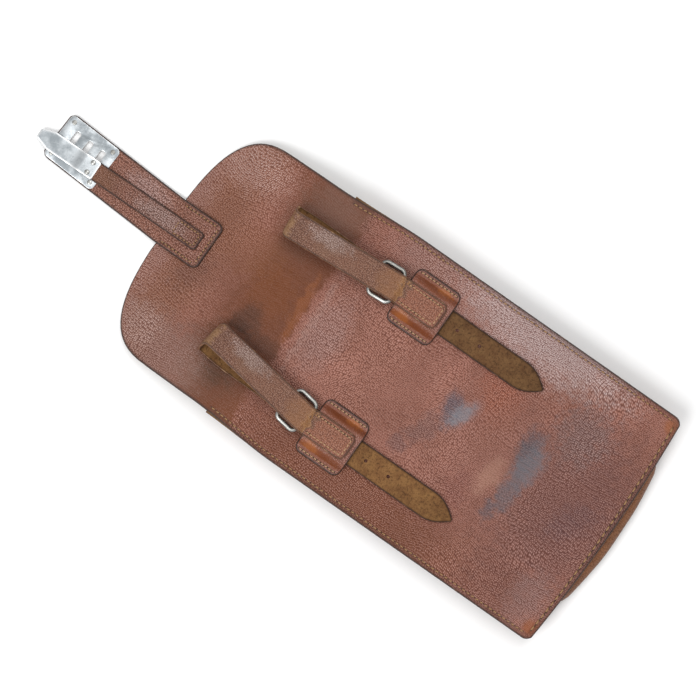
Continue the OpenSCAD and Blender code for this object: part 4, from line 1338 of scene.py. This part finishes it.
def loopRoute(sideName):
    # heights of the strap's middle against its distance from the heel bar, in the loop's own plane
    anchorLow, anchorHigh = nodeBox("strap_anchor_" + sideName)
    anchorMid = (anchorLow[2] + anchorHigh[2]) / 2
    topZ = heelZ + loop["rise"]
    foldY = loop["foldAt"]
    foldRadius = loop["foldRadius"]
    foldZ = runLow[2] + loop["foldRest"] + foldRadius
    start = anchorLow[1] - heelY + 0.7
    points = []
    for y in spread(start, -5.1, 2.5):
        points.append((y, anchorMid))
    for y in spread(-5.1, 4.5, 1.2)[1:]:
        points.append((y, anchorMid + (topZ - anchorMid) * float(smooth((y + 5.1) / 5))))
    for y in spread(4.5, foldY, 3.0)[1:]:
        points.append((y, topZ + (foldZ + foldRadius - topZ) * float(smooth(y / foldY))))
    for a in np.radians(np.arange(78, -90, -12)):
        points.append((foldY + foldRadius * math.cos(a), foldZ + foldRadius * math.sin(a)))
    barY, barTop, restZ = loop["barAt"], loop["barTop"], runLow[2] + strap["thick"] / 2
    for y in np.concatenate([spread(foldY, barY + 25, 4.0), spread(barY + 25, 0.5, 1.8)[1:]]):
        if y > barY:
            z = restZ + 0.1 + (barTop - restZ - 0.1) * float(smooth((barY + 25 - y) / 25))
        else:
            z = restZ + (barTop - restZ) * (1 - float(smooth((barY - y) / (barY - 3.5))))
        points.append((y, z))
    return points


def heelOf(sideName):
    # where the buckle's heel bar is, and how far the loop leans
    joint = "loop_lift_" + sideName
    axis = joints[joint]["axis"]
    return pivotOf(joint), math.atan2(axis[1], axis[0])


def makeLoop(sideName):
    heel, lean = heelOf(sideName)
    route, across = [], []
    outward = -1 if sideName == "left" else 1
    gape = loop["gape"][sideName]
    for y, z in loopRoute(sideName):
        turn = lean * float(smooth((y + 8) / 11))
        # the lower run drifts outwards towards the fold, so the loop stands a little open
        low = float(smooth((38.5 - z) / 9)) if y > 20 else 0.0
        drift = outward * gape * low * float(smooth((y - 18) / 75))
        twist = outward * 0.03 * gape * float(smooth((y - 10) / 70)) * (1 - low)
        route.append((heel[0] - y * math.sin(turn) + drift * math.cos(turn),
                      heel[1] + y * math.cos(turn) + drift * math.sin(turn), z))
        across.append((math.cos(turn) * math.cos(twist), math.sin(turn) * math.cos(twist), math.sin(twist)))
    stations = stationsAlong(route, lambda i: across[i])
    total = stations[-1][3]
    splitAt = next(i for i, (y, z) in enumerate(loopRoute(sideName)) if y > 7.0)
    wave = loop["wrinkles"][sideName]

    def relief(x, along):
        # soft wrinkles where the strap bends over the bar and where it folds back
        bendZone = bell(along - 50, 14) + 0.6 * bell(along - 146, 10)
        wrinkle = wander(x / 2.2, along, 3.0, wave)
        return -0.55 * bendZone * smooth(1 - 6 * abs(wrinkle)) + 0.15 * wander(x, along, 16, wave + 3)

    columns = edgeColumns(strap["half"], 1.6, near=(0, 0.4, 0.9, 1.5, 2.2))
    finishes = [loopLeather, tailSuede, tanEdge]
    label = sideName.capitalize()

    def halfAt(along):
        return strap["half"] - rounding(along, total + 20, 5)

    args = dict(crown=0.15, crease=0.12, relief=relief, edgeReach=0.8, rim=0.6)
    anchor = strip("anchor" + label, stations[:splitAt + 1], halfAt, strap["thick"], columns, finishes,
                   cuts=("last",), **args)
    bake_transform(anchor)
    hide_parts("strap_anchor_" + sideName, "strap_bend_" + sideName)
    loopPiece = strip("loop" + label, stations[splitAt:], strap["half"], strap["thick"], columns, finishes,
                      cuts=("first",), **args)
    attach(loopPiece, "loop_" + sideName)
    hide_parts("loop_strap_" + sideName)

    low, high = nodeBox("strap_anchor_" + sideName)
    sewing = Stitching("anchor" + label + "Sewing", paleThread, 0.38)
    top = high[2] - 0.02
    inset = strap["stitchInset"]
    reach = strap["half"] - inset
    for side in (-1, 1):
        origin = np.array([heel[0] + side * reach, 0, top])
        sewing.straightRow(origin, np.array([0, 1, 0]), upright, low[1] + inset + 1, high[1] - 1,
                           strap["pitch"], proud=0.2)
    sewing.straightRow(np.array([heel[0], low[1] + inset, top]), np.array([1, 0, 0]), upright,
                       0.6 - reach, reach - 0.6, strap["pitch"], proud=0.2)
    sewn = sewing.finishPiece()
    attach(sewn, "pouch")
    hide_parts("anchor_thread_" + sideName)


buckle = {"wire": 1.75, "half": 14.5, "depth": 19.5, "corner": 4.25, "drop": 1.5}


def makeBuckle(sideName):
    heel, lean = heelOf(sideName)
    r = buckle["corner"]
    outline = []
    for x, y, turn in ((buckle["half"] - r, r, -90), (buckle["half"] - r, buckle["depth"] - r, 0),
                       (-buckle["half"] + r, buckle["depth"] - r, 90), (-buckle["half"] + r, r, 180)):
        for i in range(9):
            a = math.radians(turn + 90 * i / 8)
            outline.append((x + r * math.cos(a), y + r * math.sin(a)))
    route = []
    for x, y in outline:
        z = heel[2] - buckle["drop"] * y / buckle["depth"]
        route.append((heel[0] + x * math.cos(lean) - y * math.sin(lean),
                      heel[1] + x * math.sin(lean) + y * math.cos(lean), z))
    frameWire = wire("buckleWire" + sideName.capitalize(), route, buckle["wire"], [wireSteel], sides=18)
    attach(frameWire, "loop_" + sideName)
    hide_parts("buckle_frame_" + sideName)


tail = {"tip": 24.0, "tipPower": 2.1, "holeRadius": 1.45, "holesAt": (-82.5, -104.1), "rim": 0.6}


def makeTail(sideName):
    low, high = nodeBox("strap_tail_" + sideName)
    x0 = (low[0] + high[0]) / 2
    z = (low[2] + high[2]) / 2
    start = runHigh[1]
    length = start - low[1]
    tip = tail["tip"]
    rim = tail["rim"]

    def halfAt(along):
        left = length - along
        if left >= tip:
            return strap["half"]
        # pointed like a gothic arch
        k = 1 - left / tip
        return max(strap["half"] * (1 - k ** tail["tipPower"]), 1.6)

    rows = np.concatenate([spread(rim, 40, 4), spread(40, 52, 1.0)[1:], spread(52, length - tip, 3)[1:],
                           spread(length - tip, length - 1.2, 1.2)[1:]])
    route = []
    for d in rows:
        lift = 0.35 * float(smooth((d - 60) / 50)) * (1 + math.sin(d / 13)) / 2
        route.append((x0, start - d, z + lift))
    stations = stationsAlong(route, lambda i: (-1, 0, 0))
    stations = [(p, a, u, d + rim) for p, a, u, d in stations]
    columns = edgeColumns(strap["half"], 1.6, near=(0, 0.4, 0.9, 1.5, 2.2))
    suede = tailSuede if sideName == "left" else soiledSuede
    piece = strip("tail" + sideName.capitalize(), stations, halfAt, strap["thick"], columns,
                  [suede, loopLeather, darkEdge], crown=0.12,
                  relief=lambda x, d: 0.1 * wander(x, d, 5, 3.0), edgeReach=0.9, rim=rim)
    # the punched holes' walls take the dark hole finish, painted shade
    profile = [(tail["holeRadius"], -4), (tail["holeRadius"], 4)]
    holes = [lathe("hole", profile, (x0, y, z), [stitchHole], segments=20) for y in tail["holesAt"]]
    punch(piece, holes, stitchHole)
    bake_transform(piece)
    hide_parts("strap_run_" + sideName, "strap_tail_" + sideName)


for sideName in ("left", "right"):
    makePatch(sideName)
    makeLoop(sideName)
    makeBuckle(sideName)
    makeTail(sideName)
print("patches, loops and tails made")


# closure strap, hasp, tongue strap and tongue

closurePivot = pivotOf("closure_swing")
tonguePivot = pivotOf("tongue_lift")
haspLow, haspHigh = nodeBox("hasp_plate")
plateLow, plateHigh = nodeBox("tongue_plate")
closure = {
    "half": 21.0, "thick": 2.2, "base": 41.0, "length": 114.0, "lean": math.radians(2.9), "restZ": 1.6,
    "settle": 15.0, "corner": 6.0, "slotWidth": 22.6, "slotHeight": 4.7, "slotPitch": 12.4,
    "haspHalf": 20.0, "haspLength": 49.0, "haspCorner": 4.0, "plate": 1.0, "stitchInset": 3.5, "pitch": 3.6,
}
haspZ = haspLow[2]
haspEnd = closure["length"] - 1.0
haspStart = haspEnd - closure["haspLength"]
slotMid = haspEnd - 25.5
flapTilt = 2 * bridgeSlope
flapUp = np.array([0, math.sin(flapTilt), math.cos(flapTilt)])
flapAlong = np.array([0, math.cos(flapTilt), -math.sin(flapTilt)])
sideways = np.array([1.0, 0, 0])


def closureLevel(y):
    # height of the closure strap's middle, y measured from its pivot line; negative y is on the flap
    if y < 0:
        return closurePivot[2] - y * math.tan(flapTilt)
    drop = closurePivot[2] - closure["restZ"]
    return closure["restZ"] + drop * (1 - float(smooth(y / closure["settle"])))


def easedLevel(level, y, reach=3.0):
    near = [level(y + d * reach) for d in (-1, -0.5, 0, 0.5, 1)]
    return sum(near) / len(near) if abs(y) < 9 else level(y)


def closurePlace(x, y, z):
    # from the closure strap's flat frame, origin on the pivot line, to the bag
    lean = closure["lean"]
    return np.array([closurePivot[0] + x * math.cos(lean) + y * math.sin(lean),
                     closurePivot[1] - x * math.sin(lean) + y * math.cos(lean), z])


def makeClosure():
    baseStart = -(closure["base"] + 1.5) * math.cos(flapTilt)
    route, across = [], []
    ys = np.concatenate([spread(baseStart + 0.7, -8, 2.0), spread(-8, 12, 1.0)[1:],
                         spread(12, closure["length"] - 0.7, 2.5)[1:]])
    for y in ys:
        lean = closure["lean"] * float(smooth((y + 3) / 6))
        x = closurePivot[0] + max(y, 0) * math.sin(lean)
        route.append((x, closurePivot[1] + y, easedLevel(closureLevel, y)))
        across.append((math.cos(lean), -math.sin(lean), 0))
    stations = stationsAlong(route, lambda i: across[i])
    stations = [(p, a, u, d + 0.7) for p, a, u, d in stations]
    total = stations[-1][3] + 0.7

    def halfAt(along):
        return closure["half"] - rounding(along, total, closure["corner"])

    def relief(x, along):
        inset = closure["half"] - abs(x)
        onBase = smooth((closure["base"] - along) / 4)
        furrow = 0.3 * bell(min(inset, along) - closure["stitchInset"], 0.7) * onBase
        between = smooth((along - 44) / 12) * smooth((118 - along) / 8)
        return 0.12 * wander(x, along, 18, 14.0) * between - furrow

    columns = edgeColumns(closure["half"], 2.0, near=(0, 0.4, 0.9, 1.5, 2.2, 2.8, 3.5, 4.2))
    piece = strip("closureStrap", stations, halfAt, closure["thick"], columns,
                  [closureLeather, fleshSide, darkEdge], crease=0.12, relief=relief, edgeReach=1.0)
    cutters = []
    for k in (-1, 0, 1):
        middle = slotMid + k * closure["slotPitch"]
        opening = roundedLoop(closure["slotWidth"] / 2 + 0.8, middle - closure["slotHeight"] / 2 - 0.9,
                              middle + closure["slotHeight"] / 2 + 0.9, 1.6, corners=4)
        points = [closurePlace(x, y, z) for z in (-3, 6) for x, y in opening]
        n = len(opening)
        faces = [[i, (i + 1) % n, n + (i + 1) % n, n + i] for i in range(n)]
        faces += [list(range(n - 1, -1, -1)), [n + i for i in range(n)]]
        cutters.append(fixNormals(newPiece("slotCutter", points, faces, [])))
    punch(piece, cutters, darkEdge)
    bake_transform(piece)
    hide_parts("closure_base", "closure_strap", "closure_bend")

    sewing = Stitching("closureSewing", brownThread, 0.36)
    edge = closurePivot - flapAlong * (closure["base"] + 1.5) + flapUp * (closure["thick"] / 2 - 0.1)
    inset = closure["stitchInset"]
    reach = closure["half"] - inset
    for side in (-1, 1):
        sewing.straightRow(edge + sideways * side * reach, flapAlong, flapUp,
                           inset + 2.5, closure["base"] - 3, closure["pitch"], proud=0.22)
    sewing.straightRow(edge + flapAlong * inset, sideways, flapUp, 1.5 - reach, reach - 1.5,
                       closure["pitch"], proud=0.22)
    sewn = sewing.finishPiece()
    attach(sewn, "flap")
    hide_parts("closure_thread")


tongue = {
    "half": 8.0, "thick": 1.8, "base": 31.0, "plateLength": 56.0, "taper": 12.0, "tip": 3.8, "corner": 3.0,
    "offset": 2.8, "lean": math.radians(0.55), "lap": 12.5, "stitchInset": 2.6, "boxEnd": 23.5,
    "rivetAt": (4.55, 6.0),
}
plateEnd = plateHigh[1] - closurePivot[1]
plateStart = plateEnd - tongue["plateLength"]
tongueStrapEnd = plateStart + tongue["lap"]


def tonguePlace(x, y, z):
    # from the tongue's flat frame to the bag
    lean = tongue["lean"]
    return np.array([tongue["offset"] + x * math.cos(lean) - y * math.sin(lean),
                     closurePivot[1] + x * math.sin(lean) + y * math.cos(lean), z])


def tongueLevel(y):
    # height of the tongue strap's middle: on the closure strap, then up over the hasp's edge
    if y < 0:
        lift = closure["thick"] / 2 + tongue["thick"] / 2
        return closureLevel(y) + lift / math.cos(flapTilt)
    climb = closure["plate"] * float(smooth((y - haspStart + 7) / 6))
    return closureLevel(y) + closure["thick"] / 2 + 0.2 + tongue["thick"] / 2 + climb


def makeTongueStrap():
    baseStart = -(tongue["base"] + 1.5) * math.cos(flapTilt)
    splitY = tonguePivot[1] - closurePivot[1] - 2.2
    ys = list(spread(baseStart + 0.5, -8, 2.0)) + list(spread(-8, splitY, 1.0)[1:])
    firstCount = len(ys)
    ys += list(spread(splitY, splitY + 8, 1.0)[1:]) + list(spread(splitY + 8, tongueStrapEnd, 2.5)[1:])
    route = []
    for y in ys:
        place = tonguePlace(0, max(y, 0), 0)
        route.append((place[0], closurePivot[1] + y, easedLevel(tongueLevel, y)))
    stations = stationsAlong(route, lambda i: (1, 0, 0))
    stations = [(p, a, u, d + 0.5) for p, a, u, d in stations]

    def halfAt(along):
        return tongue["half"] - rounding(along, 500, tongue["corner"])

    def relief(x, along):
        inset = tongue["half"] - abs(x)
        onBase = smooth((25 - along) / 2)
        return -0.25 * bell(min(inset, along) - tongue["stitchInset"], 0.6) * onBase

    columns = edgeColumns(tongue["half"], 1.4, near=(0, 0.35, 0.8, 1.3, 2.0, 2.6, 3.2))
    finishes = [tongueLeather, fleshSide, darkEdge]
    args = dict(crown=0.18, crease=0.1, relief=relief, edgeReach=0.9, rim=0.5)
    lowerPart = strip("tongueRun", stations[:firstCount], halfAt, tongue["thick"], columns, finishes,
                      cuts=("last",), **args)
    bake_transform(lowerPart)
    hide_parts("tongue_base", "tongue_run")
    upperPart = strip("tongueStrap", stations[firstCount - 1:], tongue["half"], tongue["thick"], columns,
                      finishes, cuts=("first",), **args)
    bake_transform(upperPart)
    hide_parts("tongue_strap", "tongue_bend")

    sewing = Stitching("tongueSewing", brownThread, 0.34)
    edge = np.array([tongue["offset"], *closurePivot[1:]]) - flapAlong * (tongue["base"] + 1.5)
    edge += flapUp * (closure["thick"] / 2 + tongue["thick"] + 0.02)
    reach = tongue["half"] - tongue["stitchInset"]
    for side in (-1, 1):
        sewing.straightRow(edge + sideways * side * reach, flapAlong, flapUp, 3.2, 23, 3.2, proud=0.2)
    for rowAt in (tongue["stitchInset"], tongue["boxEnd"]):
        sewing.straightRow(edge + flapAlong * rowAt, sideways, flapUp, -4.6, 4.6, 3.0, proud=0.2)
    sewn = sewing.finishPiece()
    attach(sewn, "flap")
    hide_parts("tongue_thread")


def rivetHead(name, centre, radius, height, finishes):
    profile = [(0.2, -0.6), (radius * 0.7, -0.5), (radius, 0.0), (radius, height * 0.2)]
    for a in np.radians(np.arange(15, 90, 15)):
        profile.append((radius * math.cos(a) + 0.02, height * (0.2 + 0.8 * math.sin(a))))
    profile.append((0.05, height))
    return lathe(name, profile, centre, finishes)


def makeHasp():
    slots = []
    for k in (-1, 0, 1):
        middle = slotMid + k * closure["slotPitch"]
        slots.append(roundedLoop(closure["slotWidth"] / 2, middle - closure["slotHeight"] / 2,
                                 middle + closure["slotHeight"] / 2, 1.6, corners=4))
    outline = roundedLoop(closure["haspHalf"], haspStart, haspEnd, closure["haspCorner"])
    hasp = plate("haspPlate", outline, slots, haspZ, closure["plate"], 0.4, closurePlace,
                 [dullSteel, rimHighlight])
    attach(hasp, "closure")
    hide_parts("hasp_plate")
    middle = (haspStart + haspEnd) / 2
    heads, burrs = [], []
    for sx in (-1, 1):
        for sy in (-1, 1):
            x = sx * (closure["haspHalf"] - 4.7)
            y = middle + sy * (closure["haspLength"] / 2 - 5)
            heads.append(rivetHead("haspRivet", closurePlace(x, y, haspHigh[2]), 2.0, 0.45, [wireSteel]))
            ring = [(0.9, 0.1), (2.2, 0.0), (2.4, 0.15), (2.4, 0.4), (1.9, 0.55), (0.9, 0.55)]
            burrs.append(lathe("haspBurr", ring, closurePlace(x, y, 0.0), [wireSteel]))
    for i, head in enumerate(heads):
        head.name = "haspRivet%d" % (i + 1)
        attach(head, "closure")
    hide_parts("hasp_rivets")
    for i, burr in enumerate(burrs):
        burr.name = "haspBurr%d" % (i + 1)
        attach(burr, "closure")
    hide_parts("hasp_burrs")


def makeTonguePlate():
    thick = closure["plate"]

    def level(y):
        onStrap = tongueLevel(100) + (tongue["thick"] + thick) / 2
        return onStrap - (tongue["thick"] - 0.35) * float(smooth((y - tongueStrapEnd - 0.2) / 9))

    rim = 0.3
    ys = np.concatenate([plateStart + rim + np.array([0, 0.3, 0.7, 1.2, 2.0]),
                         spread(plateStart + 3, tongueStrapEnd - 0.5, 2)[1:],
                         spread(tongueStrapEnd - 0.5, tongueStrapEnd + 5.5, 0.5)[1:],
                         spread(tongueStrapEnd + 5.5, plateEnd - tongue["taper"], 3)[1:],
                         spread(plateEnd - tongue["taper"], plateEnd - rim, 1.5)[1:]])
    route = [tuple(tonguePlace(0, y, level(y))) for y in ys]
    lean = tongue["lean"]
    stations = stationsAlong(route, lambda i: (math.cos(lean), math.sin(lean), 0))
    stations = [(p, a, u, y) for (p, a, u, d), y in zip(stations, ys)]

    def halfAt(y):
        half = tongue["half"] - rounding(y - plateStart, 500, 2.2)
        left = plateEnd - y
        if left < tongue["taper"]:
            half = tongue["tip"] + (tongue["half"] - tongue["tip"]) * left / tongue["taper"]
        return half

    columns = edgeColumns(tongue["half"], 1.2, near=(0, 0.2, 0.5, 1.0, 1.6))
    # the plate's edges get the painted rim highlight
    piece = strip("tonguePlate", stations, halfAt, thick, columns, [dullSteel, dullSteel, rimHighlight],
                  crown=0.12, relief=lambda x, y: 0.2 * bell(tongue["half"] - abs(x) - 0.3, 0.5),
                  edgeReach=0.85, rim=rim)
    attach(piece, "tongue")
    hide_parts("tongue_plate")
    for i, side in enumerate((-1, 1)):
        at = tonguePlace(side * tongue["rivetAt"][0], plateStart + tongue["rivetAt"][1], plateHigh[2])
        head = rivetHead("tongueRivet%d" % (i + 1), at, 2.15, 0.95, [wireSteel])
        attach(head, "tongue")
        if i == 0:
            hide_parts("tongue_rivets")


makeClosure()
makeTongueStrap()
makeHasp()
makeTonguePlate()
print("closure made")


# CAD nodes that stay, with their finishes
def dressNode(node, finish, bevel=0.0):
    part = frame["nodes"][node]
    part.data.materials.clear()
    part.data.materials.append(finish)
    weld = part.modifiers.new("weld", "WELD")
    weld.merge_threshold = 0.00002
    if bevel:
        soften = part.modifiers.new("soften", "BEVEL")
        soften.width = bevel * mm
        soften.segments = 3
        soften.limit_method = "ANGLE"
        soften.angle_limit = math.radians(40)


plateSteel = metalFinish("plateSteel", {
    "bright": "c9cbca", "film": "8f918f", "dark": "5b5a58", "rim": "c9cbca",
    "tarnish": 0.5, "rough": (0.32, 0.5), "metallic": 0.85})
dressNode("staple_plate", plateSteel, 0.2)
for node in ("staple", "staple_rivets", "buckle_prong_left", "buckle_prong_right"):
    dressNode(node, wireSteel)


def nodeLeather(name, look):
    # leather for pieces without a hide map: the same grain laid on in the piece's own space
    finish, tree, shader = newFinish(name)
    place = ownSpace(tree)
    grain = useGroup(tree, pebbleGrain, {"Vector": place, "Across": 2.0, "Along": 1.6, "Swirl": 2.0})
    hide = useGroup(tree, hideTone, {"Vector": place, "Seed": 44.0})
    colour = mixTone(tree, hide["Spot"], tone(look["deep"]), tone(look["base"]))
    # painted shade in the grain's valleys
    colour = mixTone(tree, calc(tree, "MULTIPLY", grain["Valley"], 0.6), colour, tone(look["valley"]))
    bump = bumpFrom(tree, grain["Height"], 0.6, 0.0003)
    tree.links.new(colour, shader.inputs["Base Color"])
    tree.links.new(remap(tree, hide["Spot"], 0, 1, 0.45, 0.6), shader.inputs["Roughness"])
    tree.links.new(bump, shader.inputs["Normal"])
    return finish


chapeLeather = nodeLeather("chapeLeather", {"base": "7b4f31", "deep": "57351f", "valley": "2f1c11"})
dressNode("chape_left", chapeLeather, 0.35)
dressNode("chape_right", chapeLeather, 0.35)
dressNode("staple_patch", chapeLeather, 0.4)
print("small parts dressed")


# floor, light and camera

stage = {"floor": 6.0, "floorTone": "fafafa", "world": 0.5, "aim": (0.0017, -0.0219), "across": 0.560,
         "distance": 1.6, "sensor": 36.0}


def makeFloor():
    half = stage["floor"] / 2
    steps = 24
    line = np.linspace(-half, half, steps + 1)
    points = [(x, y, -0.0002) for y in line for x in line]
    wide = steps + 1
    faces = [[r * wide + c, r * wide + c + 1, (r + 1) * wide + c + 1, (r + 1) * wide + c]
             for r in range(steps) for c in range(steps)]
    mesh = bpy.data.meshes.new("studioFloor")
    mesh.from_pydata(points, [], faces)
    finish, tree, shader = newFinish("studioPaper")
    place = addNode(tree, "ShaderNodeTexCoord").outputs["Object"]
    fibre = noiseOver(tree, place, 60.0, 2.0)
    speckle = calc(tree, "MULTIPLY", fibre[0], 0.03)
    shade = mixTone(tree, speckle, tone(stage["floorTone"]), tone("e6e6e6"))
    tree.links.new(shade, shader.inputs["Base Color"])
    shader.inputs["Roughness"].default_value = 0.9
    shader.inputs["Specular IOR Level"].default_value = 0.0
    mesh.materials.append(finish)
    floor = bpy.data.objects.new("studioFloor", mesh)
    bpy.context.scene.collection.objects.link(floor)


def softBox(name, place, target, size, watts):
    light = bpy.data.lights.new(name, "AREA")
    light.shape = "RECTANGLE"
    light.size, light.size_y = size
    light.energy = watts
    lamp = bpy.data.objects.new(name, light)
    lamp.location = place
    lamp.rotation_mode = "QUATERNION"
    lamp.rotation_quaternion = (Vector(target) - Vector(place)).to_track_quat("-Z", "Y")
    bpy.context.scene.collection.objects.link(lamp)


def makeCamera():
    right = Vector((0.574, -0.819, 0)).normalized()
    up = Vector((0.819, 0.574, 0)).normalized()
    back = right.cross(up)
    cam = bpy.data.cameras.new("camera")
    cam.sensor_width = stage["sensor"]
    cam.lens = stage["sensor"] * stage["distance"] / stage["across"]
    viewer = bpy.data.objects.new("camera", cam)
    place = Vector((stage["aim"][0], stage["aim"][1], 0.012)) + back * stage["distance"]
    viewer.matrix_world = Matrix.Translation(place) @ Matrix((right, up, back)).transposed().to_4x4()
    bpy.context.scene.collection.objects.link(viewer)
    bpy.context.scene.camera = viewer


world = bpy.data.worlds.new("studio")
world.use_nodes = True
world.node_tree.nodes["Background"].inputs["Color"].default_value = (1.0, 1.0, 1.0, 1.0)
world.node_tree.nodes["Background"].inputs["Strength"].default_value = stage["world"]
bpy.context.scene.world = world
bpy.context.scene.view_settings.view_transform = "Standard"
makeFloor()
softBox("keyLight", (-1.1, 0.3, 1.7), (0, 0, 0), (1.1, 1.1), 25)
softBox("sheenLight", (0.8, 0.1, 1.9), (0.05, 0, 0), (1.0, 1.4), 17)
makeCamera()
print("stage set")
